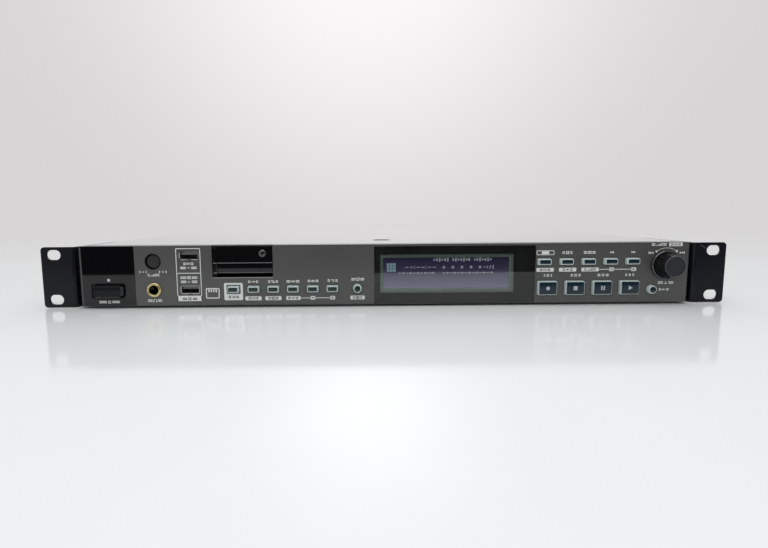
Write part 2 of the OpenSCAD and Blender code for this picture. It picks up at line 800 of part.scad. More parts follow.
module card_bay() {
    x0 = notch_x0 - bay_t;
    x1 = notch_x1 + bay_t;
    color("#101012") at_face() difference() {
        union() {
            difference() {
                bar(x0, x1, panel_t, bay_back, notch_z - bay_t, bay_z1);
                bar(notch_x0, notch_x1, panel_t - 1, bay_back - 1.5, notch_z, bay_z1 - bay_t);
            }
            bar(notch_x0 + 0.1, hinge_x + lug_r, hinge_y - 1.2, panel_t + 2, notch_z + 0.1, lug_z0);
            bar(notch_x0 - 0.1, hinge_x + lug_r, panel_t, panel_t + 2, notch_z - 0.1, lug_z0);
            bar(notch_x0 + 0.1, hinge_x + lug_r, hinge_y - 1.2, panel_t - 0.2, lug_z1, case_h - 0.5);
            bar(notch_x0 + 0.1, hinge_x + lug_r, hinge_y - 1.2, panel_t + 2, lug_z1, bay_z1);
            pin(screw_x, screw_z, 4.8, bay_back - 1, 6.6);
        }
        translate([hinge_x, hinge_y, notch_z + 0.4]) cylinder(h = case_h - 1.2 - notch_z, d = trunnion + 0.2);
        pin(screw_x, screw_z, 4, 11, 4.4);
        for (s = [-1, 1]) slab(bay_back - 3, bay_back + 1)
            translate([card_slot_x, card_board_z + s * (socket_h + board_t) / 2])
                square(slot_card, center = true);
    }
}

module card_door() {
    c = door_c;
    fold = mid + door_fold;
    low = mid + door_low;
    clear_x = hinge_x + lug_r + 0.7;
    color("#0e0e10") at_face() difference() {
        union() {
            along(hinge_x, door_x1) polygon([[lip_y + c, low], [lip_y, low + c], [lip_y, fold],
                [door_y0 + c, fold], [door_y0, fold + c], [door_y0, door_z1 - c], [door_y0 + c, door_z1],
                [door_y1, door_z1], [door_y1, low]]);
            translate([hinge_x, hinge_y, low]) cylinder(h = lug_z1 - 0.3 - low, r = hinge_r);
            translate([hinge_x, hinge_y, notch_z + 0.7]) cylinder(h = low - notch_z, d = trunnion);
            translate([hinge_x, hinge_y, lug_z1 - 1]) cylinder(h = trunnion_h + 1, d = trunnion);
        }
        difference() {
            bar(hinge_x - 3, clear_x, -1, panel_t + 1, lug_z1 - 0.3, case_h + 1);
            translate([hinge_x, hinge_y, lug_z1 - 1]) cylinder(h = trunnion_h + 1, d = trunnion);
        }
        pin(screw_x, screw_z, -1, panel_t + 1, 3.4);
    }
}

module card_screw() {
    r = 2.95;
    color("#c9ccd0") at_face() difference() {
        turned(screw_x, screw_z, [[0, -1.5], [0.8, -1.46], [1.6, -1.28], [2.3, -0.9], [2.75, -0.3],
            [r, 0.25], [1.5, 0.25], [1.5, door_y1 + 0.2], [2.3, door_y1 + 0.2], [2.3, door_y1 + 0.9],
            [1.5, door_y1 + 0.9], [1.5, 6.2], [0, 6.2]]);
        for (a = [0, 90]) translate([screw_x, 0, screw_z]) rotate([0, a, 0])
            translate([-1.5, -2, -0.3]) cube([3, 1.3, 0.6]);
    }
}

module card_sockets() {
    color("#b9bcc0") at_face() for (s = [-1, 1])
        translate([card_slot_x, 0, card_board_z + s * (socket_h + board_t) / 2]) difference() {
            slab(bay_back, bay_back + socket_d) square([27.6, socket_h], center = true);
            slab(bay_back - 1, bay_back + socket_d - 1) square([24.6, 2.4], center = true);
        }
}

module card_board() {
    color("#1f5a38") at_face() bar(card_slot_x - card_board_w / 2, card_slot_x + card_board_w / 2,
        bay_back, bay_back + card_board_d, card_board_z - board_t / 2, card_board_z + board_t / 2);
}

// Jog knob

module jog_knob() {
    y0 = -jog_seat;
    y1 = y0 - jog_skirt;
    face = -jog_reach;
    depth = y1 - face;
    base_r = jog_dia / 2 - 0.8;
    n = flute_n * 6;
    color("#2b2c30") at_face() translate([jog_x, 0, jog_z]) difference() {
        union() {
            turned(0, 0, [[0, y0], [jog_dia / 2, y0], [jog_dia / 2, y1 + 0.5],
                [jog_dia / 2 - 0.5, y1], [0, y1]]);
            translate([0, y1, 0]) rotate([90, 0, 0]) linear_extrude(depth - 0.6, scale = jog_face / 2 / base_r)
                polygon([for (i = [0:n - 1]) let (a = i * 360 / n,
                    q = base_r - 0.35 * (1 - cos(a * flute_n))) [q * cos(a), q * sin(a)]]);
            turned(0, 0, [[0, face + 1], [jog_face / 2 - 0.6, face + 1], [jog_face / 2 - 0.6, face + 0.4],
                [jog_face / 2 - 1, face], [jog_face / 2 - 1.6, face],
                [jog_face / 2 - 2, face + 0.3], [0, face + 0.3]]);
        }
        pin(0, 0, face + 4, y0 + 1, jog_shaft_dia + 0.04);
    }
}

module jog_shaft() {
    color("#c9ccd0") at_face() pin(jog_x, jog_z, 4 - jog_reach, board_y - 2.2, jog_shaft_dia);
}

module jog_plunger() {
    color("#d8d8d4") at_face() pin(jog_x, jog_z, board_y - 2.1, board_y - 1.3, jog_shaft_dia);
}

module jog_encoder() {
    color("#5d6166") at_face() difference() {
        union() {
            bar(jog_x - 6.5, jog_x + 6.5, panel_t + 0.4, board_y, jog_z - 6.5, jog_z + 6.5);
            pin(jog_x, jog_z, -0.2, panel_t + 1, jog_bush);
        }
        pin(jog_x, jog_z, -1, board_y - 0.5, jog_shaft_dia + 2 * run_gap);
    }
}

// Boards inside

module board(b) {
    bar(b[0], b[1], b[2], b[3], deck_level, deck_level + board_t);
}

module main_board() {
    z = deck_level + board_t;
    color("#1f5a38") at_face() {
        board(main_box);
        // chips as [left edge before the board's right edge, front edge behind the board's front edge, side]
        for (p = [[178, 40, 28], [140, 40, 20], [102, 80, 14], [52, 50, 24]])
            translate([main_x1 - p[0], main_box[2] + p[1], z]) cube([p[2], p[2], chip_h]);
        for (i = [0:5]) translate([main_x1 - 46 - i * 26, boards_y1 - 18, z]) cylinder(h = 12, d = 9);
    }
}

// transformer, two capacitors and a row of cooling fins
module supply_parts() {
    z = deck_level + board_t;
    color("#c8a23a") at_face() {
        board(supply_box);
        translate([supply_x0, supply_box[2], z]) {
            bar(36, 76, 70, 106, 0, tall_part);
            for (x = [12, 94]) translate([x, 40, 0]) cylinder(h = tall_part, d = 18);
            for (i = [0:6]) bar(30 + i * 8, 33 + i * 8, 14, 46, 0, tall_part - 2);
        }
    }
}

// Connectors on the back

module dsize_plate(x) {
    difference() {
        cell(x, conn_z, 26, 31, 3, back_y, back_y + 1.8);
        for (s = [-1, 1]) pin(x + s * 9.5, conn_z + s * 12, back_y - 1, back_y + 3, 3.2);
    }
}

// round cup behind its plate, open to the back for depth d
module xlr_cup(x, d, bore) {
    difference() {
        union() {
            dsize_plate(x);
            pin(x, conn_z, back_y - 19, back_y + 1.8, 23.6);
        }
        pin(x, conn_z, back_y - d, back_y + 3, bore);
    }
}

// three contacts on a circle, one at the bottom
module xlr_contacts(x, y0, y1, dia) {
    for (a = [90, 210, 330])
        pin(x + 4.7 * cos(a), conn_z - 4.7 * sin(a), y0, y1, dia);
}

module xlr_inputs() {
    color("#2c2d31") at_face() for (x = xlr_in_x) {
        xlr_cup(x, 11, 19.6);
        difference() {
            pin(x, conn_z, back_y - 11 + run_gap, back_y + 1.2, 15.4);
            xlr_contacts(x, back_y - 8, back_y + 3, 2.7);
        }
    }
}

module xlr_outputs() {
    color("#2c2d31") at_face() for (x = xlr_out_x) {
        xlr_cup(x, 14, 19.2);
        xlr_contacts(x, back_y - 14.5, back_y - 2, 2.4);
    }
}

module phono_jacks() {
    tip = back_y + phono_reach;
    color("#c9ccd0") at_face() for (x = phono_x) {
        bar(x - 6, x + 6, back_y - 13, back_y - sheet_t, remote_z - 14, remote_z + 14);
        for (s = [-1, 1]) translate([x, 0, remote_z + s * phono_dz]) difference() {
            union() {
                pin(0, 0, back_y - 2, tip + sheet_t, 8.3);
                pin(0, 0, back_y, back_y + 1.4, 11.6);
            }
            difference() {
                pin(0, 0, back_y + 2, tip + 3, 6.9);
                pin(0, 0, back_y + 1, tip + 0.4, 5.4);
            }
            pin(0, 0, back_y - 4, tip + 3, 3.3);
        }
    }
}

module ac_inlet() {
    c = 3;
    color("#121214") at_face() translate([inlet_x, 0, inlet_z]) {
        difference() {
            union() {
                cell(0, 0, 49, 24, 4, back_y, back_y + 2.6);
                cell(0, 0, 28, 20.4, 2, back_y - 20, back_y + 1);
            }
            slab(back_y - 16.5, back_y + 4) polygon([[-12.2, -8.4], [12.2, -8.4], [12.2, 8.4 - c],
                [12.2 - c, 8.4], [c - 12.2, 8.4], [-12.2, 8.4 - c]]);
            for (s = [-1, 1]) pin(s * 20, 0, back_y - 1, back_y + 4, 3.4);
        }
        for (p = [[-7, -1.6], [7, -1.6], [0, 2.8]])
            bar(p[0] - 1, p[0] + 1, back_y - 17, back_y - 1.5, p[1] - 2, p[1] + 2);
    }
}

module dsub(x, w) {
    difference() {
        union() {
            cell(x, remote_z, w + 14.6, 12.5, 1, back_y, back_y + 1);
            cell(x, remote_z, w - 0.6, 10.4, 2, back_y - 9, back_y + 1);
            slab(back_y, back_y + 6) translate([x, remote_z])
                polygon([[-w / 2, 4], [w / 2, 4], [w / 2 - 1.5, -4], [1.5 - w / 2, -4]]);
        }
        for (r = [0, 1], i = [0:(w > 30 ? 12 : 4) - r])
            pin(x + (i - ((w > 30 ? 12 : 4) - r) / 2) * 2.77, remote_z + 1.4 - r * 2.8, back_y + 1, back_y + 7, 1.3);
    }
    for (s = [-1, 1]) translate([x + s * (w / 2 + 4.2), back_y + 1, remote_z]) rotate([-90, 0, 0])
        difference() {
            cylinder(h = 4.8, d = 5.4, $fn = 6);
            translate([0, 0, 1]) cylinder(h = 5, d = 2.6);
        }
}

module data_ports() {
    color("#b9bcc0") at_face() {
        dsub(dsub25_x, 38.4);
        dsub(dsub9_x, 16.4);
        difference() {
            bar(net_x - 8, net_x + 8, back_y - 20, back_y + 0.6, remote_z - 7, remote_z + 7);
            bar(net_x - 5.9, net_x + 5.9, back_y - 14, back_y + 2, remote_z - 4.6, remote_z + 3.4);
            bar(net_x - 3.2, net_x + 3.2, back_y - 14, back_y + 2, remote_z + 3, remote_z + 5);
        }
    }
}

chassis_tray();
top_cover();
rear_panel();
front_panel();
power_fascia();
power_lamp();
level_collar();
level_pot();
phones_jack();
phones_ring();
usb_shells();
usb_tongues();
socket_board();
card_bay();
card_sockets();
card_board();
display_window();
lcd_frame();
lcd_panel();
lcd_board();
key_boards();
key_switches();
jog_encoder();
board_posts();
ear_left();
ear_right();
case_screws();
feet();
main_board();
supply_parts();
ac_inlet();
xlr_inputs();
xlr_outputs();
phono_jacks();
data_ports();
power_button();
level_carriage();
level_knob();
card_door();
card_screw();
jog_plunger();
jog_shaft();
jog_knob();
shift_button();
move_button();
copy_button();
combine_button();
divide_button();
undo_button();
display_button();
list_button();
menu_button();
frame_button();
rewind_button();
forward_button();
record_button();
stop_button();
pause_button();
play_button();
back_button();
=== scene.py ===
import bmesh
import bpy
import json
import math
from mathutils import Matrix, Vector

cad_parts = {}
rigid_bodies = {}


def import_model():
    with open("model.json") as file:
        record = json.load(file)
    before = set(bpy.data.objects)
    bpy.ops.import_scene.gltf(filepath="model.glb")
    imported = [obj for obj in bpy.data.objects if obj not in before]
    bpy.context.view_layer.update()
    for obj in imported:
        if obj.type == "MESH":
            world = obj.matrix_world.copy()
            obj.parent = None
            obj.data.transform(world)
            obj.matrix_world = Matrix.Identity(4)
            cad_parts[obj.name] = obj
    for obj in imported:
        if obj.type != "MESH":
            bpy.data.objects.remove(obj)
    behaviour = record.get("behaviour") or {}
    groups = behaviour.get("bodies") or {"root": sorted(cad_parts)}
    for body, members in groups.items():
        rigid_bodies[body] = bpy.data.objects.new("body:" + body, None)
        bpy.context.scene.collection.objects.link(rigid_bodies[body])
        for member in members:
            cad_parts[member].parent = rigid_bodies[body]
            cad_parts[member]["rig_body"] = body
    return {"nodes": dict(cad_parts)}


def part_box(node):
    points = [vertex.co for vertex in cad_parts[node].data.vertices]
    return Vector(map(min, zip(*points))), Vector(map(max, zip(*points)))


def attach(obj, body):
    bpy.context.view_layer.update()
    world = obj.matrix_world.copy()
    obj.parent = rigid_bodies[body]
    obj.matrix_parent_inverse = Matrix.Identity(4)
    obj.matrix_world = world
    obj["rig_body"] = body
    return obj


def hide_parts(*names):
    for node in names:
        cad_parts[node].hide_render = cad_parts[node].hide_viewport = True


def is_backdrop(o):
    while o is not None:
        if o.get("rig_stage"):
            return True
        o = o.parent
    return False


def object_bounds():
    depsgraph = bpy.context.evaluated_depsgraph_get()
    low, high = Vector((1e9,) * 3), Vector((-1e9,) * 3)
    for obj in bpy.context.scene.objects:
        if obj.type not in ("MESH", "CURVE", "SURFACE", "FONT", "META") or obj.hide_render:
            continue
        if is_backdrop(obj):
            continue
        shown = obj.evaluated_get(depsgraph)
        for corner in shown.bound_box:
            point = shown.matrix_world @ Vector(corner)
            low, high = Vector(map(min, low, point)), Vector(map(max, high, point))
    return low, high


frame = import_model()
cadLow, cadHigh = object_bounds()
nodes = frame["nodes"]
mm = 0.001  # sizes below are in millimetres
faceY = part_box("front_panel")[0].y
earLow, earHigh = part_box("ear_right")
midZ = (earLow.z + earHigh.z) / 2
print("frame loaded,", len(nodes), "nodes")


# Camera, worked out from the rack slots and the panel corners in the photograph
camLook = {
    "frameWidth": 768, "focal": 512.0, "axisX": 361.9,  # pixels
    "place": (-19.6, -359.2, 44.8),  # from the middle of the ear plane
    "yaw": 0.48, "pitch": 6.972, "roll": -0.391,  # degrees, right, down and over
    "sensor": 36.0, "near": 10,
}
camera = bpy.data.objects.new("camera", bpy.data.cameras.new("camera"))
bpy.context.scene.collection.objects.link(camera)
bpy.context.scene.camera = camera
camera.data.sensor_width = camLook["sensor"]
camera.data.lens = camera.data.sensor_width * camLook["focal"] / camLook["frameWidth"]
camera.data.shift_x = 0.5 - camLook["axisX"] / camLook["frameWidth"]
camera.data.clip_start = camLook["near"] * mm
camX, camY, camZ = camLook["place"]
camera.matrix_world = (
    Matrix.Translation((camX * mm, earLow.y + camY * mm, midZ + camZ * mm))
    @ Matrix.Rotation(-math.radians(camLook["yaw"]), 4, "Z")
    @ Matrix.Rotation(math.radians(90 - camLook["pitch"]), 4, "X")
    @ Matrix.Rotation(math.radians(camLook["roll"]), 4, "Z")
)
bpy.context.scene.view_settings.view_transform = "Standard"
print("camera set")


def srgb(code):
    # a hex colour as the eye reads it, in the linear values that shaders take
    parts = [int(code[i:i + 2], 16) / 255 for i in (1, 3, 5)]
    return [p / 12.92 if p <= 0.04045 else ((p + 0.055) / 1.055) ** 2.4 for p in parts] + [1.0]


def addNode(tree, kind, inputs=None, **settings):
    node = tree.nodes.new(kind)
    for key, value in settings.items():
        setattr(node, key, value)
    for key, value in (inputs or {}).items():
        if isinstance(value, bpy.types.NodeSocket):
            tree.links.new(value, node.inputs[key])
        else:
            node.inputs[key].default_value = value
    return node


wearSpan = (0.3, 0.7)  # most of the noise lies between these


def newFinish(name, look):
    # two close tints mixed by a fine grain, gloss that wanders with handling, and low relief
    mat = bpy.data.materials.new(name)
    mat.use_nodes = True
    tree = mat.node_tree
    shader = tree.nodes["Principled BSDF"]
    for key, value in look.get("sockets", {}).items():
        shader.inputs[key].default_value = value
    coords = addNode(tree, "ShaderNodeTexCoord")
    stretch = addNode(tree, "ShaderNodeMapping",
                      {"Vector": coords.outputs["Object"], "Scale": look.get("stretch", (1, 1, 1))})
    grain = addNode(tree, "ShaderNodeTexNoise",
                    {"Vector": stretch.outputs[0], "Scale": 1 / (look["grain"] * mm), "Detail": 2.0})
    wear = addNode(tree, "ShaderNodeTexNoise",
                   {"Vector": coords.outputs["Object"], "Scale": 1 / (look["wear"] * mm), "Detail": 4.0})
    tint = addNode(tree, "ShaderNodeMix",
                   {0: grain.outputs[0], 6: srgb(look["dark"]), 7: srgb(look["light"])}, data_type="RGBA")
    low, high = look["rough"]
    gloss = addNode(tree, "ShaderNodeMapRange",
                    {"Value": wear.outputs[0], "From Min": wearSpan[0], "From Max": wearSpan[1],
                     "To Min": low, "To Max": high})
    relief = addNode(tree, "ShaderNodeBump",
                     {"Height": grain.outputs[0], "Distance": look.get("relief", 0.0) * mm})
    tree.links.new(tint.outputs[2], shader.inputs["Base Color"])
    tree.links.new(gloss.outputs[0], shader.inputs["Roughness"])
    tree.links.new(relief.outputs[0], shader.inputs["Normal"])
    return mat


def newPiece(name, bm, body, mat):
    mesh = bpy.data.meshes.new(name)
    bm.to_mesh(mesh)
    bm.free()
    mesh.materials.append(mat)
    piece = bpy.data.objects.new(name, mesh)
    bpy.context.scene.collection.objects.link(piece)
    if body:
        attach(piece, body)
    return piece


def dress(name, mat):
    node = nodes[name]
    if not node.material_slots:
        node.data.materials.append(mat)
    for slot in node.material_slots:
        slot.material = mat


def middle(low, high):
    # middle of a box in mm, across and up from the middle of the panel
    return (low.x + high.x) / 2 / mm, ((low.z + high.z) / 2 - midZ) / mm


# Stage: white laminate table that fades into a pale wall, and a dark room past its front edge
stageLook = {
    "half": 4000, "fade": (250, 1300),  # table, and where it fades behind the panel face
    "edge": 190, "apronLift": 1, "gloom": "#0c0d0e",  # dark room past the table's front edge
    "air": "#fbfdff", "light": 0.76,  # wall, pool and dusk below lie in directions
    "wallAt": (0.02, 0.885, 0.465), "spread": 0.64, "near": "#fdfbfc", "far": "#d7d5d6",
    "poolAt": (0.02, 0.9, 0.436), "pool": 0.3, "glow": 1.6,
    "duskAt": (0.4, -0.91, 0.1), "behind": (0.25, 0.9), "dim": 0.85,
}
laminate = newFinish("white laminate", {  # pressed smooth, so it mirrors softly at a low angle
    "dark": "#eceeed", "light": "#f0f2f1", "grain": 40, "wear": 300,
    "rough": (0.08, 0.12), "sockets": {"IOR": 1.25}})
tree = laminate.node_tree
coords = addNode(tree, "ShaderNodeTexCoord")
axes = addNode(tree, "ShaderNodeSeparateXYZ", {0: coords.outputs["Object"]})
away = addNode(tree, "ShaderNodeMapRange",
               {"Value": axes.outputs["Y"], "From Min": faceY + stageLook["fade"][0] * mm,
                "From Max": faceY + stageLook["fade"][1] * mm}, interpolation_type="SMOOTHSTEP")
clear = addNode(tree, "ShaderNodeBsdfTransparent")
fade = addNode(tree, "ShaderNodeMixShader",
               {0: away.outputs[0], 1: tree.nodes["Principled BSDF"].outputs[0], 2: clear.outputs[0]})
tree.links.new(fade.outputs[0], tree.nodes["Material Output"].inputs["Surface"])
bm = bmesh.new()
bmesh.ops.create_grid(bm, x_segments=1, y_segments=1, size=stageLook["half"] * mm)
bmesh.ops.translate(bm, verts=bm.verts[:], vec=(0, 0, cadLow.z))
newPiece("table", bm, None, laminate)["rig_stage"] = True

# The dark beyond the edge is only there for reflections, and only from above
dark = bpy.data.materials.new("dark room")
dark.use_nodes = True
tree = dark.node_tree
side = addNode(tree, "ShaderNodeNewGeometry")
shade = addNode(tree, "ShaderNodeEmission", {"Color": srgb(stageLook["gloom"])})
clear = addNode(tree, "ShaderNodeBsdfTransparent")
oneWay = addNode(tree, "ShaderNodeMixShader",
                 {0: side.outputs["Backfacing"], 1: shade.outputs[0], 2: clear.outputs[0]})
tree.links.new(oneWay.outputs[0], tree.nodes["Material Output"].inputs["Surface"])
bm = bmesh.new()
bmesh.ops.create_grid(bm, x_segments=1, y_segments=1, size=stageLook["half"] * mm)
bmesh.ops.translate(bm, verts=bm.verts[:], vec=(0, faceY - (stageLook["edge"] + stageLook["half"]) * mm,
                                                cadLow.z + stageLook["apronLift"] * mm))
apron = newPiece("darkApron", bm, None, dark)
apron.visible_camera = False
apron.visible_diffuse = False
apron.visible_shadow = False
apron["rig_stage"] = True

world = bpy.data.worlds.new("pale room")
bpy.context.scene.world = world
world.use_nodes = True
tree = world.node_tree
tree.nodes["Background"].inputs["Color"].default_value = srgb(stageLook["air"])
tree.nodes["Background"].inputs["Strength"].default_value = stageLook["light"]
# the wall is brightest above the unit and falls off round that place
coords = addNode(tree, "ShaderNodeTexCoord")
reach = addNode(tree, "ShaderNodeVectorMath",
                {0: coords.outputs["Generated"], 1: stageLook["wallAt"]}, operation="DISTANCE")
falloff = addNode(tree, "ShaderNodeMapRange",
                  {"Value": reach.outputs["Value"], "From Max": stageLook["spread"]},
                  interpolation_type="SMOOTHSTEP")
shadeOf = addNode(tree, "ShaderNodeMix", {0: falloff.outputs[0], 6: srgb(stageLook["near"]),
                                          7: srgb(stageLook["far"])}, data_type="RGBA")
path = addNode(tree, "ShaderNodeLightPath")
# the table also mirrors a soft light above the picture
above = addNode(tree, "ShaderNodeVectorMath",
                {0: coords.outputs["Generated"], 1: stageLook["poolAt"]}, operation="DISTANCE")
pool = addNode(tree, "ShaderNodeMapRange", {"Value": above.outputs["Value"], "From Max": stageLook["pool"],
                                            "To Min": stageLook["glow"], "To Max": 0.0},
               interpolation_type="SMOOTHSTEP")
# and the front of the unit mirrors a darker room behind the camera, most of all to the right
behind = addNode(tree, "ShaderNodeVectorMath",
                 {0: coords.outputs["Generated"], 1: stageLook["duskAt"]}, operation="DISTANCE")
dusk = addNode(tree, "ShaderNodeMapRange",
               {"Value": behind.outputs["Value"], "From Min": stageLook["behind"][0],
                "From Max": stageLook["behind"][1], "To Min": -stageLook["dim"], "To Max": 0.0},
               interpolation_type="SMOOTHSTEP")
both = addNode(tree, "ShaderNodeMath", {0: pool.outputs[0], 1: dusk.outputs[0]}, operation="ADD")
glow = addNode(tree, "ShaderNodeMath", {0: both.outputs[0], 1: path.outputs["Is Glossy Ray"], 2: 1.0},
               operation="MULTIPLY_ADD")
seen = addNode(tree, "ShaderNodeBackground", {"Color": shadeOf.outputs[2], "Strength": glow.outputs[0]})
mirror = addNode(tree, "ShaderNodeMath",
                 {0: path.outputs["Is Glossy Ray"], 1: path.outputs["Is Transmission Ray"]}, operation="ADD")
shown = addNode(tree, "ShaderNodeMath",
                {0: path.outputs["Is Camera Ray"], 1: mirror.outputs[0]}, operation="ADD", use_clamp=True)
room = addNode(tree, "ShaderNodeMixShader",
               {0: shown.outputs[0], 1: tree.nodes["Background"].outputs[0], 2: seen.outputs[0]})
tree.links.new(room.outputs[0], tree.nodes["World Output"].inputs["Surface"])

lampLook = {  # place in mm from the panel face, aim, width, depth, watts, and whether gloss mirrors it
    "ceiling": ((0, -200, 1000), (0, -60, 0), 1100, 800, 3.0, True),
    "window": ((-500, -1300, 800), (0, 0, 20), 1400, 900, 2.4, False),
}
for name, (place, aim, width, depth, watts, mirrored) in lampLook.items():
    lamp = bpy.data.objects.new(name, bpy.data.lights.new(name, "AREA"))
    bpy.context.scene.collection.objects.link(lamp)
    lamp.data.shape = "RECTANGLE"
    lamp.data.size = width * mm
    lamp.data.size_y = depth * mm
    lamp.data.energy = watts
    lamp.visible_glossy = mirrored
    lamp.location = (place[0] * mm, faceY + place[1] * mm, place[2] * mm)
    ray = lamp.location - Matrix.Translation((aim[0] * mm, faceY + aim[1] * mm, aim[2] * mm)).to_translation()
    lamp.rotation_euler = ray.to_track_quat("Z", "Y").to_euler()
print("stage set")


# Finishes, each from what the real piece is made of
graphite = newFinish("graphite metallic paint", {  # sprayed on the moulding, a fine even sparkle
    "dark": "#464745", "light": "#565754", "grain": 0.9, "wear": 60,  # real flake is finer than a pixel
    "rough": (0.24, 0.31), "relief": 0.005, "sockets": {"Metallic": 0.15, "Specular IOR Level": 0.7}})
blackSteel = newFinish("black powder coat", {  # baked on steel, a slight orange peel
    "dark": "#090b12", "light": "#0f1119", "grain": 1.4, "wear": 45,
    "rough": (0.24, 0.34), "relief": 0.006, "sockets": {"Specular IOR Level": 0.28}})
coverPaint = newFinish("smooth black enamel", {  # stoved on sheet, mirrors the wall at a low angle
    "dark": "#17181b", "light": "#1e1f22", "grain": 2.5, "wear": 80,
    "rough": (0.06, 0.1), "sockets": {"Coat Weight": 1.0, "Coat Roughness": 0.04}})
zincSheet = newFinish("zinc plated steel", {  # dull silver with a soft bloom
    "dark": "#9a9c9c", "light": "#b6b8b8", "grain": 6, "wear": 50,
    "rough": (0.34, 0.46), "relief": 0.002, "sockets": {"Metallic": 1.0}})
glossBlack = newFinish("gloss black acrylic", {  # cast sheet, a clean dark mirror
    "dark": "#0b0b0d", "light": "#0e0e11", "grain": 3, "wear": 70,
    "rough": (0.03, 0.07), "sockets": {"IOR": 1.5}})
blackAbs = newFinish("black moulded ABS", {  # spark eroded mould, a dull fine tooth
    "dark": "#101113", "light": "#18191b", "grain": 0.7, "wear": 30,
    "rough": (0.32, 0.42), "relief": 0.008})
glossAbs = newFinish("polished black ABS", {  # polished mould, holds a soft mirror
    "dark": "#0b0b0c", "light": "#101011", "grain": 1.5, "wear": 20,
    "rough": (0.05, 0.09), "sockets": {"IOR": 1.5}})
paleKey = newFinish("pale translucent ABS", {  # lets a little light in, so its edges glow
    "dark": "#b2bfbf", "light": "#c2cccb", "grain": 1.2, "wear": 12,
    "rough": (0.28, 0.38), "relief": 0.002,
    "sockets": {"Subsurface Weight": 0.15, "Subsurface Radius": (0.8, 1.0, 1.0), "Subsurface Scale": 0.0008}})
tileLook = {"grain": 2.0, "wear": 8, "rough": (0.1, 0.16)}  # dark tile over a lamp that is off
tealFace = newFinish("smoked teal polycarbonate", {"dark": "#12221f", "light": "#182d2a", **tileLook})
blueFace = newFinish("smoked blue polycarbonate", {"dark": "#0d1e28", "light": "#142a36", **tileLook})
darkKey = newFinish("dark slate ABS", {  # polished key, greyer than the fascia
    "dark": "#0c0e10", "light": "#121517", "grain": 1.2, "wear": 14,
    "rough": (0.1, 0.16), "sockets": {"IOR": 1.3}})
knobSlate = newFinish("dark knob plastic", {  # satin moulding, shines along its flutes
    "dark": "#060708", "light": "#0a0b0c", "grain": 0.6, "wear": 14,
    "rough": (0.14, 0.2), "relief": 0.003})
knobFace = newFinish("slate knob insert", {  # textured disc let into the end of the knob
    "dark": "#15171c", "light": "#272a32", "grain": 0.5, "wear": 9,
    "rough": (0.4, 0.5), "relief": 0.03})
powerKeyHighlight = newFinish("power key edge highlight", {  # pale strips on the power key's flanks and brow, painted highlight
    "dark": "#3d4143", "light": "#4b4f51", "grain": 0.5, "wear": 8,
    "rough": (0.3, 0.4), "relief": 0.002})
bayBlack = newFinish("matt black ABS", {  # etched mould, swallows the light in the card bay
    "dark": "#070808", "light": "#0b0c0c", "grain": 0.6, "wear": 12,
    "rough": (0.5, 0.6), "relief": 0.004, "sockets": {"Specular IOR Level": 0.15}})
tongueGrey = newFinish("grey crystal polymer", {  # heat-proof moulding inside the sockets
    "dark": "#5b5b57", "light": "#696964", "grain": 0.6, "wear": 6,
    "rough": (0.4, 0.5), "relief": 0.002})
capSatin = newFinish("satin black ABS", {  # finely etched mould, for the cap of the level knob
    "dark": "#1d1e1f", "light": "#2b2c2c", "grain": 0.5, "wear": 8,
    "rough": (0.3, 0.4), "relief": 0.004})
goldPlate = newFinish("gold plated brass", {  # bright turned ring
    "dark": "#c8b37e", "light": "#e0d0a2", "grain": 0.8, "wear": 5,
    "rough": (0.08, 0.14), "relief": 0.001, "sockets": {"Metallic": 1.0}})
nickel = newFinish("nickel plated steel", {  # stamped shell, bright with fine drag lines
    "dark": "#b4b6b8", "light": "#cccdcf", "grain": 0.5, "stretch": (1, 0.1, 1), "wear": 8,
    "rough": (0.18, 0.3), "relief": 0.001, "sockets": {"Metallic": 1.0}})
socketMouthHighlight = newFinish("nickel socket edge highlight", {  # pale strips on the shell rims, painted highlight
    "dark": "#a6a7a3", "light": "#b8b9b5", "grain": 0.5, "wear": 6,
    "rough": (0.4, 0.5), "relief": 0.001, "sockets": {"Metallic": 0.3}})
frameBevelHighlight = newFinish("display frame bevel highlight", {  # flat pale strips on the display frame, painted highlight where its bevel would face the light
    "dark": "#aab1ab", "light": "#bac0ba", "grain": 1, "wear": 10,
    "rough": (0.4, 0.5), "sockets": {"Metallic": 0.2}})
blackNickel = newFinish("black nickel", {  # polished under its plating, a small dark mirror
    "dark": "#54565a", "light": "#64666a", "grain": 0.6, "wear": 4,
    "rough": (0.06, 0.12), "sockets": {"Metallic": 1.0}})
blackZinc = newFinish("black zinc screw", {  # passivated, dark with a patchy sheen
    "dark": "#1b1b1d", "light": "#34343a", "grain": 0.7, "wear": 4,
    "rough": (0.26, 0.4), "relief": 0.004, "sockets": {"Metallic": 0.7}})
frameSteel = newFinish("tin plated frame", {  # pale bent sheet, greenish under the window
    "dark": "#868f88", "light": "#9aa29b", "grain": 3, "wear": 20,
    "rough": (0.3, 0.42), "relief": 0.001, "sockets": {"Metallic": 0.4}})
boardGreen = newFinish("solder mask on glass epoxy", {  # green film with the weave just showing
    "dark": "#17492d", "light": "#205a39", "grain": 0.9, "wear": 14,
    "rough": (0.3, 0.42), "relief": 0.004})
partsAmber = newFinish("varnished supply parts", {  # wound cores and foil, varnished brown
    "dark": "#6d5424", "light": "#8a6c30", "grain": 2, "wear": 10,
    "rough": (0.34, 0.5), "relief": 0.01})
rubber = newFinish("black rubber", {  # moulded, dull with a dusty grey bloom
    "dark": "#131313", "light": "#1f1f1f", "grain": 0.8, "wear": 9,
    "rough": (0.6, 0.75), "relief": 0.01})
whiteNylon = newFinish("white nylon", {  # natural moulded, slightly waxy
    "dark": "#cfcfca", "light": "#dadad5", "grain": 1.0, "wear": 9,
    "rough": (0.4, 0.5), "relief": 0.002})
inkLook = {"grain": 0.5, "wear": 15, "rough": (0.5, 0.6), "relief": 0.001}  # matt print with a slight tooth
paleInk = newFinish("pale screen ink", {"dark": "#cfd1ce", "light": "#dfe0dc", **inkLook})
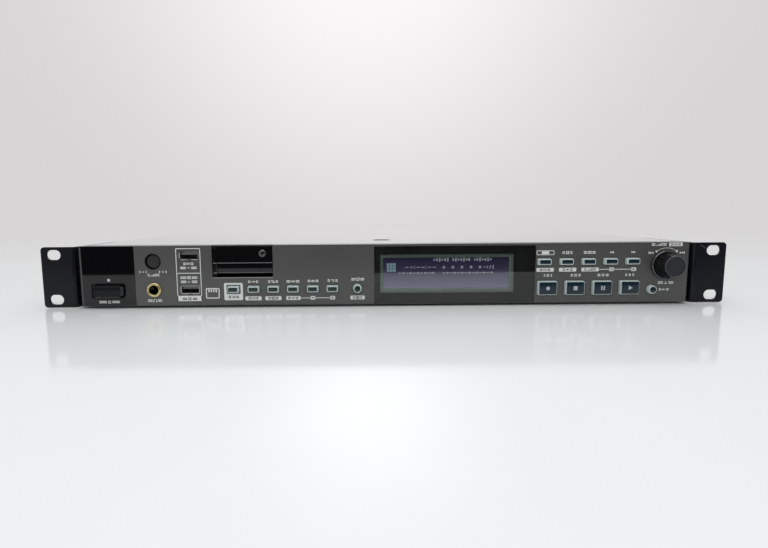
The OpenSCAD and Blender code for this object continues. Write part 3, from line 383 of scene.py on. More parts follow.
greyInk = newFinish("grey screen ink", {"dark": "#a4abb2", "light": "#b3b9bf", **inkLook})  # transport signs
darkInk = newFinish("dark screen ink", {"dark": "#3c3d3c", "light": "#4a4b49", **inkLook})  # over-print
highlightAndScratchGrey = newFinish("painted highlight and scratch grey", {  # pale grey, painted highlight on edges and flute tips, and the bare colour of a scratch
    "dark": "#777a7b", "light": "#8b8e8e", "grain": 0.4, "stretch": (0.05, 1, 1), "wear": 6,
    "rough": (0.4, 0.5), "relief": 0.002})
lampLens = newFinish("white lamp lens", {  # milky moulded light pipe
    "dark": "#b9bebe", "light": "#c6cbcb", "grain": 1, "wear": 5, "rough": (0.3, 0.4)})
print("finishes made")


# Display: see-through window over a back-lit violet cell
smoke = bpy.data.materials.new("clear acrylic window")  # cast sheet, clear to lamps, mirrors the room faintly
smoke.use_nodes = True
tree = smoke.node_tree
glass = tree.nodes["Principled BSDF"]
for key, value in {"Base Color": srgb("#d4dad6"), "Roughness": 0.02, "IOR": 1.6,
                   "Transmission Weight": 1.0}.items():
    glass.inputs[key].default_value = value
path = addNode(tree, "ShaderNodeLightPath")
clear = addNode(tree, "ShaderNodeBsdfTransparent", {"Color": srgb("#e6eae7")})
pane = addNode(tree, "ShaderNodeMixShader",
               {0: path.outputs["Is Shadow Ray"], 1: glass.outputs[0], 2: clear.outputs[0]})
tree.links.new(pane.outputs[0], tree.nodes["Material Output"].inputs["Surface"])

cellLow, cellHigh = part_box("lcd_panel")
cellLook = {"top": "#15131f", "middle": "#403743", "middleAt": 0.6, "low": "#85819f", "glow": 0.64}
cell = newFinish("liquid crystal cell", {  # polariser film over a violet backlight, paler low down as a painted gradient of viewing angle and reflected table light
    "dark": "#34305a", "light": "#3c3866", "grain": 0.7, "wear": 30,
    "rough": (0.08, 0.14), "sockets": {"IOR": 1.7, "Emission Strength": cellLook["glow"]}})
tree = cell.node_tree
coords = addNode(tree, "ShaderNodeTexCoord")
axes = addNode(tree, "ShaderNodeSeparateXYZ", {0: coords.outputs["Object"]})
# paler low down: a painted gradient of viewing angle and reflected table light
rise = addNode(tree, "ShaderNodeMapRange",
               {"Value": axes.outputs["Z"], "From Min": cellLow.z, "From Max": cellHigh.z})
ramp = addNode(tree, "ShaderNodeValToRGB", {0: rise.outputs[0]})
ramp.color_ramp.elements[0].color = srgb(cellLook["low"])
ramp.color_ramp.elements[1].color = srgb(cellLook["top"])
ramp.color_ramp.elements.new(cellLook["middleAt"]).color = srgb(cellLook["middle"])
tree.links.new(ramp.outputs[0], tree.nodes["Principled BSDF"].inputs["Emission Color"])

segmentLook = {"grain": 0.6, "wear": 10, "rough": (0.3, 0.4)}  # clear dots in the cell, lit from behind
segment = newFinish("lit display segment", {
    "dark": "#a9a6b6", "light": "#b6b3c2", **segmentLook,
    "sockets": {"Emission Color": srgb("#b4b0c2"), "Emission Strength": 0.35}})
iconBlue = newFinish("lit blue segment", {  # over a bluer lamp
    "dark": "#94aab8", "light": "#a0b6c4", **segmentLook,
    "sockets": {"Emission Color": srgb("#94b0c2"), "Emission Strength": 0.35}})

finishOf = {
    graphite: ["front_panel"],
    blackSteel: ["ear_left", "ear_right", "rear_panel"],
    coverPaint: ["top_cover"],
    zincSheet: ["chassis_tray"],
    glossBlack: ["power_fascia"],
    smoke: ["display_window"],
    frameSteel: ["lcd_frame"],
    cell: ["lcd_panel"],
    lampLens: ["power_lamp"],
    boardGreen: ["lcd_board", "key_boards", "socket_board", "card_board", "main_board"],
    partsAmber: ["supply_parts"],
    blackAbs: ["level_collar", "phones_jack", "key_switches", "ac_inlet", "xlr_inputs", "xlr_outputs"],
    tongueGrey: ["usb_tongues"],
    glossAbs: ["card_door"],
    bayBlack: ["card_bay"],
    goldPlate: ["phones_ring", "board_posts"],
    nickel: ["usb_shells", "card_sockets", "phono_jacks", "data_ports", "jog_shaft", "level_pot",
             "jog_encoder"],
    blackNickel: ["card_screw"],
    blackZinc: ["case_screws"],
    rubber: ["feet"],
    darkKey: ["power_button"],
    knobSlate: ["jog_knob"],
    capSatin: ["level_knob"],
    whiteNylon: ["level_carriage", "jog_plunger"],
    paleKey: [name for name in nodes if name.endswith("_button") and name != "power_button"],
}
for mat, names in finishOf.items():
    for name in names:
        dress(name, mat)
print("nodes dressed,", len(nodes) - sum(len(names) for names in finishOf.values()), "left over")


# Round nodes get a smooth copy, bent sheet gets eased edges
jogLook = {
    "sink": 0.35, "sinkRadius": 6.3,  # then cap and skirt, as radius and depth
    "cap": [(0, 0.2), (6.45, 0.2), (6.5, 0.02), (6.6, 0.0), (6.85, 0.25), (6.85, 0.9), (0, 0.9)],
    "skirt": [(9.93, -0.9), (9.43, -1.4), (9.35, -1.35), (9.85, -0.85)],  # eased edge of the knob's foot
    "sides": 64, "tips": 26, "tipCircle": 7.0, "tipDeep": 0.5, "tipHalf": (0.24, 0.22, 0.42),
}
refineLook = {
    "merge": 0.002, "flat": 0.5,  # mm and degrees, under which facets become one face
    "smooth": (35, ["jog_knob", "level_knob", "level_collar", "phones_jack", "card_screw", "feet",
                    "case_screws", "xlr_inputs", "xlr_outputs", "phono_jacks", "power_button"]
               + finishOf[paleKey]),  # edges sharper than so many degrees stay hard
    "rolled": (80, ["phones_ring"]),  # its bevels run into each other
    "eased": (60, {"ear_left": 0.25, "ear_right": 0.25, "power_fascia": 0.25, "lcd_frame": 0.45}),
}


def sinkFace(bm):
    # the middle of the knob's face lies back, so that its cap can be let in
    low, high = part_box("jog_knob")
    x, z = (low.x + high.x) / 2, (low.z + high.z) / 2
    floor = low.y + jogLook["sink"] * mm
    for v in bm.verts:
        if v.co.y < floor and math.hypot(v.co.x - x, v.co.z - z) < jogLook["sinkRadius"] * mm:
            v.co.y = floor


def refine(name, keen, ease=0.0):
    bm = bmesh.new()
    bm.from_mesh(nodes[name].data)
    bmesh.ops.remove_doubles(bm, verts=bm.verts[:], dist=refineLook["merge"] * mm)
    bmesh.ops.dissolve_limit(bm, angle_limit=math.radians(refineLook["flat"]), verts=bm.verts[:],
                             edges=bm.edges[:])
    if name == "jog_knob":
        sinkFace(bm)
    hard = [e for e in bm.edges if len(e.link_faces) == 2 and e.calc_face_angle() > math.radians(keen)]
    if ease:
        bmesh.ops.bevel(bm, geom=hard, offset=ease * mm, offset_type="OFFSET", segments=2, profile=0.5,
                        affect="EDGES", material=-1, clamp_overlap=True)
    else:
        for face in bm.faces:
            face.smooth = True
        for edge in hard:
            edge.smooth = False
    body = nodes[name]["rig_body"]
    piece = newPiece(name + ".fine", bm, body, nodes[name].material_slots[0].material)
    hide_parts(name)


for kind in ("smooth", "rolled"):
    keen, names = refineLook[kind]
    for name in names:
        refine(name, keen)
keen, eases = refineLook["eased"]
for name, ease in eases.items():
    refine(name, keen, ease)
print("round nodes smoothed")


# Flat marks, drawn facing the front at x, z in mm from the middle of the panel
inkThick = 0.04
arcStep = 8  # degrees between the points of an arc


def inkPlace(x, z, y, turn=0.0):
    return (Matrix.Translation((x * mm, y, midZ + z * mm)) @ Matrix.Rotation(math.pi / 2, 4, "X")
            @ Matrix.Rotation(math.radians(turn), 4, "Z"))


def inkRim(bm, old, line):
    # turns the faces made since old into an outline
    faces = [f for f in bm.faces if f not in old]
    bmesh.ops.inset_region(bm, faces=faces, thickness=line * mm, use_even_offset=True, use_boundary=True)
    bmesh.ops.delete(bm, geom=faces, context="FACES")


def inkPlate(bm, y, x, z, w, h, corner=0.0, line=0.0, turn=0.0):
    old = set(bm.faces)
    made = bmesh.ops.create_grid(bm, x_segments=1, y_segments=1, size=0.5,
                                 matrix=inkPlace(x, z, y, turn) @ Matrix.Diagonal((w * mm, h * mm, 1, 1)))
    if corner:
        bmesh.ops.bevel(bm, geom=made["verts"], offset=corner * mm, offset_type="OFFSET", segments=4,
                        profile=0.5, affect="VERTICES", material=-1)
    if line:
        inkRim(bm, old, line)


def inkDisc(bm, y, x, z, dia, line=0.0, sides=24, turn=0.0):
    old = set(bm.faces)
    bmesh.ops.create_circle(bm, cap_ends=True, segments=sides, radius=dia / 2 * mm,
                            matrix=inkPlace(x, z, y, turn))
    if line:
        inkRim(bm, old, line)


def inkArc(bm, y, x, z, dia, line, start, sweep):
    # a short radial edge swept round the middle, angles in degrees from the right
    place = inkPlace(x, z, y, start)
    ends = [bm.verts.new(place @ Matrix.Translation((r * mm, 0, 0)).to_translation())
            for r in (dia / 2 - line / 2, dia / 2 + line / 2)]
    edge = bm.edges.new(ends)
    bmesh.ops.spin(bm, geom=ends + [edge], cent=place.to_translation(), axis=(0, -1, 0),
                   angle=math.radians(sweep), steps=max(6, int(abs(sweep) / arcStep)))


inkTools = {"plate": inkPlate, "disc": inkDisc, "arc": inkArc}


def inkMarks(bm, y, x, z, marks):
    for tool, dx, dz, *rest in marks:
        inkTools[tool](bm, y, x + dx, z + dz, *rest)


def inkHole(bm, x0, x1, z0, z1):
    # cuts a rectangle out of the flat faces
    for axis, edge in ((0, x0 * mm), (0, x1 * mm), (2, midZ + z0 * mm), (2, midZ + z1 * mm)):
        point, normal = [0, 0, 0], [0, 0, 0]
        point[axis], normal[axis] = edge, 1
        bmesh.ops.bisect_plane(bm, geom=bm.verts[:] + bm.edges[:] + bm.faces[:],
                               plane_co=point, plane_no=normal)
    inside = [f for f in bm.faces if x0 * mm < f.calc_center_median().x < x1 * mm
              and midZ + z0 * mm < f.calc_center_median().z < midZ + z1 * mm]
    bmesh.ops.delete(bm, geom=inside, context="FACES")


def inkThicken(bm, thick=inkThick):
    made = bmesh.ops.extrude_face_region(bm, geom=bm.faces[:])
    front = [g for g in made["geom"] if isinstance(g, bmesh.types.BMVert)]
    bmesh.ops.translate(bm, verts=front, vec=(0, -thick * mm, 0))
    bmesh.ops.recalc_face_normals(bm, faces=bm.faces[:])


pictograms = {  # plain signs, each about 2 mm high
    "move": [("plate", -0.4, 0, 1.6, 0.5), ("disc", 0.7, 0, 1.7, 0, 3, -90)],
    "copy": [("plate", -0.35, 0.3, 1.5, 1.4, 0, 0.35), ("plate", 0.4, -0.3, 1.4, 1.3)],
    "join": [("disc", -0.9, 0, 1.6, 0, 3, -90), ("plate", 0, 0, 0.4, 1.9), ("disc", 0.9, 0, 1.6, 0, 3, 90)],
    "split": [("disc", -0.8, 0, 1.6, 0, 3, 90), ("plate", 0, 0, 0.4, 1.9), ("disc", 0.8, 0, 1.6, 0, 3, -90)],
    "undo": [("arc", 0.2, -0.1, 1.5, 0.45, -100, 230), ("disc", -0.65, 0.35, 1.1, 0, 3, 110)],
    "screen": [("plate", 0, 0.15, 2.8, 1.7, 0.2, 0.4), ("plate", 0, -1.0, 1.6, 0.35)],
    "lines": [("plate", 0, 0.75, 2.6, 0.45), ("plate", 0, 0, 2.6, 0.45), ("plate", 0, -0.75, 2.6, 0.45)],
    "grid": [("plate", dx, dz, 0.9, 0.9) for dx in (-0.65, 0.65) for dz in (-0.6, 0.6)],
    "frame": [("plate", 0, 0, 2.6, 1.9, 0, 0.4), ("plate", 0, 0, 0.8, 0.7)],
    "rewind": [("disc", -0.6, 0, 1.9, 0, 3, 90), ("disc", 0.9, 0, 1.9, 0, 3, 90)],
    "forward": [("disc", -0.9, 0, 1.9, 0, 3, -90), ("disc", 0.6, 0, 1.9, 0, 3, -90)],
    "ring": [("disc", 0, 0, 1.9, 0.5)],
    "square": [("plate", 0, 0, 1.7, 1.7, 0, 0.45)],
    "pair": [("plate", -0.5, 0, 0.55, 1.8), ("plate", 0.5, 0, 0.55, 1.8)],
    "play": [("disc", 0, 0, 2.2, 0, 3, -90)],
    "steps": [("plate", -2.0 + i * 1.0, -0.9 + (0.5 + i * 0.36) / 2, 0.6, 0.5 + i * 0.36) for i in range(5)],
    "minus": [("plate", 0, 0, 1.5, 0.45)],
    "plus": [("plate", 0, 0, 1.5, 0.45), ("plate", 0, 0, 0.45, 1.5)],
    "ears": [("arc", 0, -0.3, 2.2, 0.4, 0, 180), ("plate", -1.05, -0.7, 0.7, 1.1),
             ("plate", 1.05, -0.7, 0.7, 1.1)],
    "standby": [("arc", 0, -0.1, 1.8, 0.4, 125, 290), ("plate", 0, 0.5, 0.4, 1.2)],
    "press": [("disc", 0, 0.25, 1.5, 0, 3, 180), ("plate", 0, -0.75, 1.9, 0.4)],
    "back": [("disc", -0.7, 0, 1.7, 0, 3, 90), ("plate", 0.5, 0, 1.6, 0.5)],
    "key": [("disc", 0, 0, 1.0), ("plate", 0, 0, 2.6, 0.4)],
    "bars": [("plate", -1.2 + i * 0.8, 0, 0.4, 1.4) for i in range(4)],
}


labelLook = {"start": 1.9, "wideSign": "steps", "wideStart": 2.8, "rise": 0.5, "stroke": 0.6}


def label(bm, y, x, z, sign, wing=0.0):
    # a sign between two short double lines, as wide as the print it stands for
    inkMarks(bm, y, x, z, pictograms[sign])
    start = labelLook["wideStart"] if sign == labelLook["wideSign"] else labelLook["start"]
    if wing:
        for side in (-1, 1):
            for dz in (-labelLook["rise"], labelLook["rise"]):
                inkPlate(bm, y, x + side * (start + wing / 2), z + dz, wing, labelLook["stroke"])


printLook = {  # x and z, then a sign and its side lines, or the width, height and corner of a plate
    "above": [(-92.9, -3.6, "move", 1.6), (-79.0, -3.6, "copy", 1.6), (-65.0, -3.6, "join", 2.6),
              (-51.0, -3.4, "split", 1.8), (-37.2, -3.2, "undo", 1.6), (-19.6, -2.4, "screen", 2.6),
              (127.4, 15.2, "grid", 1.6), (143.0, 15.2, "frame", 2.2), (158.6, 15.2, "rewind", 0),
              (173.8, 15.2, "forward", 0), (114.2, -0.8, "ring", 1.0), (133.8, -0.8, "square", 1.6),
              (153.2, -0.8, "pair", 2.0), (172.0, -0.8, "play", 1.2),
              (-162.2, 1.6, "steps", 1.2), (-169.4, 3.8, "minus", 0.6), (-155.6, 3.8, "plus", 0.8),
              (-162.0, -16.4, "ears", 3.0), (191.6, 20.4, "steps", 2.4), (197.8, -6.5, "press", 3.6),
              (196.7, -11.4, "back", 1.6), (-137.6, 9.4, "bars", 1.6), (-137.6, 6.5, "minus", 3.8),
              (-137.6, -0.4, "lines", 4.0), (-137.6, -3.3, "minus", 3.8)],
    "plates": [(-93.0, -15.4, 11.4, 2.8, 0.8), (-79.0, -15.4, 11.4, 2.8, 0.8), (-64.9, -15.4, 10.2, 2.8, 0.8),
               (-19.8, -15.4, 10.0, 2.7, 0.4), (128.0, 3.2, 12.2, 2.7, 0.5), (112.1, 3.2, 12.2, 2.7, 0.5),
               (143.8, 3.2, 12.2, 2.7, 0.5), (-137.6, -15.4, 17.2, 4.4, 0.6)],
    "onPlates": [(-93.0, -15.4, "bars", 1.6), (-79.0, -15.4, "lines", 1.6), (-65.1, -15.4, "key", 1.6),
                 (-19.8, -15.4, "lines", 1.4), (112.1, 3.2, "bars", 1.8), (128.0, 3.2, "key", 1.6),
                 (143.8, 3.2, "steps", 1.2), (-137.6, -15.4, "grid", 3.2)],
    "links": [(-59.4, -15.4, -37.4), (149.2, 3.2, 174.5)],  # thin line from a plate to its two dots
    "dots": [(-51.2, -15.4, "minus"), (-37.4, -15.4, "plus"), (159.0, 3.2, "minus"), (174.5, 3.2, "plus")],
    "dot": (3.7, 2.6, 0.8), "line": 0.45,
}
bm = bmesh.new()
inkDark = bmesh.new()
frontInk = faceY
overInk = faceY - inkThick * mm  # the second ink lies on the first
for x, z, sign, wing in printLook["above"]:
    label(bm, frontInk, x, z, sign, wing)
for x, z, w, h, corner in printLook["plates"]:
    inkPlate(bm, frontInk, x, z, w, h, corner)
for x, z, sign, wing in printLook["onPlates"]:
    label(inkDark, overInk, x, z, sign, wing)
for x0, z, x1 in printLook["links"]:
    inkPlate(bm, frontInk, (x0 + x1) / 2, z, x1 - x0, printLook["line"])
for x, z, sign in printLook["dots"]:
    inkPlate(bm, frontInk, x, z, *printLook["dot"])
    inkMarks(inkDark, overInk, x, z, pictograms[sign])
# outline round the two sockets, with a line between them
socketBoxLook = {"box": (-137.6, 1.3, 17.2, 37.8, 0.8, 0.5), "bar": (-137.6, 2.7, 16.4, 0.5)}
inkPlate(bm, frontInk, *socketBoxLook["box"])
inkPlate(bm, frontInk, *socketBoxLook["bar"])
# outlined box over the first list key, with dark ends
listBoxLook = {"at": (112.0, 15.2), "rim": (12.4, 3.2, 0.7, 0.4), "core": (5.2, 2.0),
               "endAt": 4.4, "end": (2.6, 1.8)}
x, z = listBoxLook["at"]
inkPlate(bm, frontInk, x, z, *listBoxLook["rim"])
inkPlate(bm, frontInk, x, z, *listBoxLook["core"])
for side in (-1, 1):
    inkPlate(inkDark, frontInk, x + side * listBoxLook["endAt"], z, *listBoxLook["end"])
# plate above the jog knob
jogPlateLook = {"at": (203.3, 20.4), "plate": (9.5, 2.5, 0.3), "sign": ("bars", 1.6)}
inkPlate(bm, frontInk, *jogPlateLook["at"], *jogPlateLook["plate"])
label(inkDark, overInk, *jogPlateLook["at"], *jogPlateLook["sign"])
# arc of the jog knob, with arrowheads and skip signs at its ends
jogArcLook = {"at": (197.2, 6.2), "dia": 23.6, "line": 0.3, "half": 37,  # degrees either side of the top
              "head": 2.5, "headTurn": 45, "skipAt": 10.6, "skipRise": 8.4, "skipHeads": (-0.9, 0.8),
              "skipHead": 1.9, "barAt": 12.5, "bar": (0.45, 1.7)}
x, z = jogArcLook["at"]
radius, half = jogArcLook["dia"] / 2, jogArcLook["half"]
inkArc(bm, frontInk, x, z, jogArcLook["dia"], jogArcLook["line"], 90 - half, 2 * half)
for side in (-1, 1):
    tip = math.radians(90 - side * half)
    inkDisc(bm, frontInk, x + radius * math.cos(tip), z + radius * math.sin(tip), jogArcLook["head"], 0, 3,
            -90 - side * jogArcLook["headTurn"])
    rise = z + jogArcLook["skipRise"]
    for dx in jogArcLook["skipHeads"]:
        inkDisc(bm, frontInk, x + side * jogArcLook["skipAt"] + dx, rise, jogArcLook["skipHead"], 0, 3,
                -90 * side)
    inkPlate(bm, frontInk, x + side * jogArcLook["barAt"], rise, *jogArcLook["bar"])
# card shape left of the shift plate
cardLook = {"card": (-121.4, -11.6, 9.6, 7.4, 0.9, 0.7), "contacts": 4, "first": (-124.0, -9.8),
            "pitch": 1.7, "contact": (0.9, 2.0)}
inkPlate(bm, frontInk, *cardLook["card"])
x, z = cardLook["first"]
for i in range(cardLook["contacts"]):
    inkPlate(bm, frontInk, x + i * cardLook["pitch"], z, *cardLook["contact"])
# pale plate round the shift key, left open where the key comes through
shiftLook = {"x": -106.8, "plate": (-10.5, 13.1, 12.2, 0.9), "keyZ": -8.9, "key": (9.8, 6.4), "line": 0.4,
             "sign": (-14.4, "move", 1.6)}
x, z = shiftLook["x"], shiftLook["keyZ"]
w, h = shiftLook["key"]
shiftPlate = bmesh.new()
inkPlate(shiftPlate, frontInk, x, *shiftLook["plate"])
inkHole(shiftPlate, x - w / 2, x + w / 2, z - h / 2, z + h / 2)
# dark outline round the key: part printed line, part painted shade of the gap round the key
inkPlate(inkDark, frontInk, x, z, w, h, 0.0, shiftLook["line"])
inkThicken(shiftPlate)
newPiece("shift_print", shiftPlate, "recorder", paleInk)
label(inkDark, overInk, x, *shiftLook["sign"])
inkThicken(bm)
inkThicken(inkDark)
newPiece("panel_print", bm, "recorder", paleInk)
newPiece("panel_overprint", inkDark, "recorder", darkInk)

powerPrintLook = {"at": (-194.0, -17.2), "sign": ("standby", 5.2)}
bm = bmesh.new()
label(bm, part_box("power_fascia")[0].y, *powerPrintLook["at"], *powerPrintLook["sign"])
inkThicken(bm)
newPiece("power_print", bm, "recorder", paleInk)
print("panel printed")


# Keys: dark tile let into each pale cap, signs on the four transport keys
keyLook = {
    "edit": (6.3, 2.8), "list": (7.5, 2.8), "deck": (12.1, 8.6), "round": 4.2,  # tiles, wide and high
    "tileLift": 0.14, "corner": 0.4, "sides": 40, "ease": 0.05, "rimAngle": 0.5,  # angle in radians
    "belly": 0.022, "slices": 8,  # share of the height, and the bands that carry it
    "signSeat": 0.85, "signThick": 0.06,  # a sign is let a little into the belly
}
keyKinds = {
    "edit": ["shift", "move", "copy", "combine", "divide", "undo"],
    "list": ["list", "menu", "frame", "rewind", "forward"],
    "deck": ["record", "stop", "pause", "play"],
    "round": ["display", "back"],
}
deckSigns = {
    "record": [("disc", 0, 0, 2.7)],
    "stop": [("plate", 0, 0, 2.8, 2.8)],
    "pause": [("plate", -0.85, 0, 0.95, 3.0), ("plate", 0.85, 0, 0.95, 3.0)],
    "play": [("disc", -0.3, 0, 3.7, 0, 3, -90)],
}
for kind, names in keyKinds.items():
    for name in names:
        low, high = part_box(name + "_button")
        x, z = middle(low, high)
        bm = bmesh.new()
        if kind == "round":
            tall = keyLook["round"]
            inkDisc(bm, low.y, x, z, tall, 0, keyLook["sides"])
        else:
            tall = keyLook[kind][1]
            inkPlate(bm, low.y, x, z, *keyLook[kind], keyLook["corner"])
        for i in range(1, keyLook["slices"]):
            cut = midZ + (z + tall * (i / keyLook["slices"] - 0.5)) * mm
            bmesh.ops.bisect_plane(bm, geom=bm.verts[:] + bm.edges[:] + bm.faces[:],
                                   plane_co=(0, 0, cut), plane_no=(0, 0, 1))
        inkThicken(bm, keyLook["tileLift"])
        # a slight belly mirrors the room at the top and the table at the bottom
        belly = keyLook["belly"] * tall
        front = [v for v in bm.verts if v.co.y < low.y - keyLook["tileLift"] * mm / 2]
        for v in front:
            off = ((v.co.z - midZ) / mm - z) / (tall / 2)
            v.co.y -= belly * (1 - off ** 2) * mm
        for face in bm.faces:
            face.smooth = all(v in front for v in face.verts)
        rim = [e for e in bm.edges if all(v in front for v in e.verts)
               and e.calc_face_angle() > keyLook["rimAngle"]]
        bmesh.ops.bevel(bm, geom=rim, offset=keyLook["ease"] * mm, offset_type="OFFSET", segments=2,
                        profile=0.5, affect="EDGES", material=-1)
        newPiece(name + "_tile", bm, name + "_button", tealFace if x < 0 else blueFace)
        if name in deckSigns:
            bm = bmesh.new()
            seat = keyLook["tileLift"] + keyLook["signSeat"] * belly
            inkMarks(bm, low.y - seat * mm, x, z, deckSigns[name])
            inkThicken(bm, keyLook["signThick"])
            newPiece(name + "_sign", bm, name + "_button", greyInk)
print("keys faced")


# Black print behind the window, with an opening for the display frame
maskLook = {"inset": 0.06, "thick": 0.03, "gap": 0.5, "trim": 0.2}
winLow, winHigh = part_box("display_window")
lcdLow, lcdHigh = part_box("lcd_frame")
gap, trim = maskLook["gap"], maskLook["trim"]
bm = bmesh.new()
inkPlate(bm, winHigh.y - maskLook["inset"] * mm, *middle(winLow, winHigh),
         (winHigh.x - winLow.x) / mm - trim, (winHigh.z - winLow.z) / mm - trim)
inkHole(bm, lcdLow.x / mm - gap, lcdHigh.x / mm + gap,
        (lcdLow.z - midZ) / mm - gap, (lcdHigh.z - midZ) / mm + gap)
inkThicken(bm, maskLook["thick"])
maskInk = newFinish("black mask ink", {  # printed on the back of the window, dead black
    "dark": "#08090a", "light": "#0b0c0d", "grain": 1, "wear": 30, "rough": (0.5, 0.6)})
newPiece("window_mask", bm, "recorder", maskInk)

# What the display shows: an icon, empty clock places, level dots and rows of small dots
displayLook = {
    "thick": 0.05,
    "icon": {"at": (1.9, 7.5), "step": (2.2, 2.1), "cell": (1.9, 1.8)},  # three by three cells
    "clock": {"at": (15.0, 5.4), "step": 3.3, "gap": 1.5, "place": (2.3, 0.6)},  # six places, two by two
    "colon": {"at": (20.5, 5.4), "step": 8.1, "rise": 0.7, "dot": (0.6, 0.6)},
    "level": {"at": (41.2, 5.3), "step": 6.4, "dot": 2.0, "count": 5, "sides": 12},
    "rows": [  # count, first x, z, step, dot width, least height, growth, its cycle, places left empty
        (4, 70.0, 5.3, 2.0, 0.8, 1.0, 0.6, 4, ()),
        (22, 34.4, 10.7, 1.9, 1.2, 1.3, 0.7, 3, (6, 14)),
        (26, 10.0, 1.4, 2.6, 1.8, 0.6, 0.4, 2, (10, 11))],
}
bm = bmesh.new()
icon = bmesh.new()
lcdY = cellLow.y
look = displayLook["icon"]
for i in range(3):
    for k in range(3):
        inkPlate(icon, lcdY, look["at"][0] + i * look["step"][0], look["at"][1] - k * look["step"][1],
                 *look["cell"])
look = displayLook["clock"]
for i in range(6):
    inkPlate(bm, lcdY, look["at"][0] + i * look["step"] + (i // 2) * look["gap"], look["at"][1],
             *look["place"])
look = displayLook["colon"]
for i in range(2):
    for dz in (-look["rise"], look["rise"]):
        inkPlate(bm, lcdY, look["at"][0] + i * look["step"], look["at"][1] + dz, *look["dot"])
look = displayLook["level"]
for i in range(look["count"]):
    inkDisc(bm, lcdY, look["at"][0] + i * look["step"], look["at"][1], look["dot"], 0, look["sides"])
for count, x, z, step, w, h, growth, cycle, empty in displayLook["rows"]:
    for i in range(count):
        if i not in empty:
            inkPlate(bm, lcdY, x + i * step, z, w, h + growth * (i % cycle))
inkThicken(bm, displayLook["thick"])
newPiece("display_segments", bm, "recorder", segment)
inkThicken(icon, displayLook["thick"])
newPiece("display_icon", icon, "recorder", iconBlue)
print("display drawn")


# Solid helpers for the small fittings, places in mm from the middle and the given plane
seamGap = 0.0005  # closes the poles and the seam of a turned shape


def addBlock(bm, x, y, z, w, d, h, tilt=0.0, turn=0.0):
    place = (Matrix.Translation((x * mm, y, midZ + z * mm)) @ Matrix.Rotation(math.radians(turn), 4, "Z")
             @ Matrix.Rotation(math.radians(tilt), 4, "X"))
    bmesh.ops.create_cube(bm, size=1.0, matrix=place @ Matrix.Diagonal((w * mm, d * mm, h * mm, 1)))


def addTurn(bm, x, z, profile, closed, sides):
    # a profile of radius in mm and y, turned about a line along y
    rim = [bm.verts.new(((x + r) * mm, y, midZ + z * mm)) for r, y in profile]
    edges = [bm.edges.new(pair) for pair in zip(rim, rim[1:])]
    if closed:
        edges.append(bm.edges.new((rim[-1], rim[0])))
    bmesh.ops.spin(bm, geom=rim + edges, cent=(x * mm, 0, midZ + z * mm), axis=(0, 1, 0), angle=math.tau,
                   steps=sides, use_merge=True)
    bmesh.ops.remove_doubles(bm, verts=bm.verts[:], dist=seamGap * mm)
    bmesh.ops.recalc_face_normals(bm, faces=bm.faces[:])


def addTube(bm, x, y0, y1, z, outer, inner=0.0, sides=28):
    addTurn(bm, x, z, [(inner / 2, y0), (outer / 2, y0), (outer / 2, y1), (inner / 2, y1)], inner > 0, sides)


# Jog knob: insert in its face, bright foot, and pale beads on the flute tips as painted highlights
low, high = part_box("jog_knob")
knobX, knobZ = middle(low, high)
bm = bmesh.new()
addTurn(bm, knobX, knobZ, [(r, low.y + y * mm) for r, y in jogLook["cap"]], False, jogLook["sides"])
newPiece("jog_cap", bm, "jog_knob", knobFace)
bm = bmesh.new()
addTurn(bm, knobX, knobZ, [(r, high.y + y * mm) for r, y in jogLook["skirt"]], True, jogLook["sides"])
newPiece("jog_skirt", bm, "jog_knob", blackNickel)
# pale beads on the flute ends, painted highlights
bm = bmesh.new()
for i in range(jogLook["tips"]):
    a = math.tau * i / jogLook["tips"]
    x = knobX + jogLook["tipCircle"] * math.cos(a)
    z = knobZ + jogLook["tipCircle"] * math.sin(a)
    place = (Matrix.Translation((x * mm, low.y + jogLook["tipDeep"] * mm, midZ + z * mm))
             @ Matrix.Rotation(-a, 4, "Y"))
    bmesh.ops.create_uvsphere(bm, u_segments=8, v_segments=6, radius=mm,
                              matrix=place @ Matrix.Diagonal((*jogLook["tipHalf"], 1)))
newPiece("jog_flute_tip_highlights", bm, "jog_knob", highlightAndScratchGrey)

# Card door: two long pale chamfers, painted highlights that run on round its hinge barrel, and the lip below
# the finger edge
doorLook = {
    "x": (-117.9, -79.4), "edges": [(0.635, 9.635), (1.935, 2.635)], "edge": (0.04, 0.66), "tilt": 45,
    "hinge": (-119.4, 1.8), "barrel": 1.42, "ring": (0.1, 0.5), "ringSteps": 16,  # deep and tall
    "lip": [(1.5, 9.3), (1.5, 6.2), (1.51, 5.2), (1.55, 4.2), (1.62, 3.4), (1.7, 2.95)],  # depth, height
    "lipThick": 0.15, "lipCrease": 0.6,  # radians
}
doorLeft, doorRight = doorLook["x"]
doorMid, doorWide = (doorLeft + doorRight) / 2, doorRight - doorLeft
hingeX, hingeY = doorLook["hinge"]
ringDeep, ringTall = doorLook["ring"]
outer, inner = doorLook["barrel"], doorLook["barrel"] - ringDeep
# pale chamfer strips and half rings, painted highlights on the door's edges
bm = bmesh.new()
for y, z in doorLook["edges"]:
    addBlock(bm, doorMid, faceY + y * mm, z, doorWide, *doorLook["edge"], doorLook["tilt"])
    low, high = z - ringTall / 2, z + ringTall / 2
    rim = [bm.verts.new(((hingeX + r) * mm, faceY + hingeY * mm, midZ + rise * mm))
           for r, rise in ((inner, low), (outer, low), (outer, high), (inner, high))]
    face = bm.faces.new(rim)
    bmesh.ops.spin(bm, geom=rim + list(face.edges) + [face], cent=(hingeX * mm, faceY + hingeY * mm, 0),
                   axis=(0, 0, -1), angle=math.pi, steps=doorLook["ringSteps"])
bmesh.ops.recalc_face_normals(bm, faces=bm.faces[:])
newPiece("card_door_edge_highlights", bm, "card_door", highlightAndScratchGrey)
bm = bmesh.new()
line = [bm.verts.new((doorLeft * mm, faceY + y * mm, midZ + z * mm)) for y, z in doorLook["lip"]]
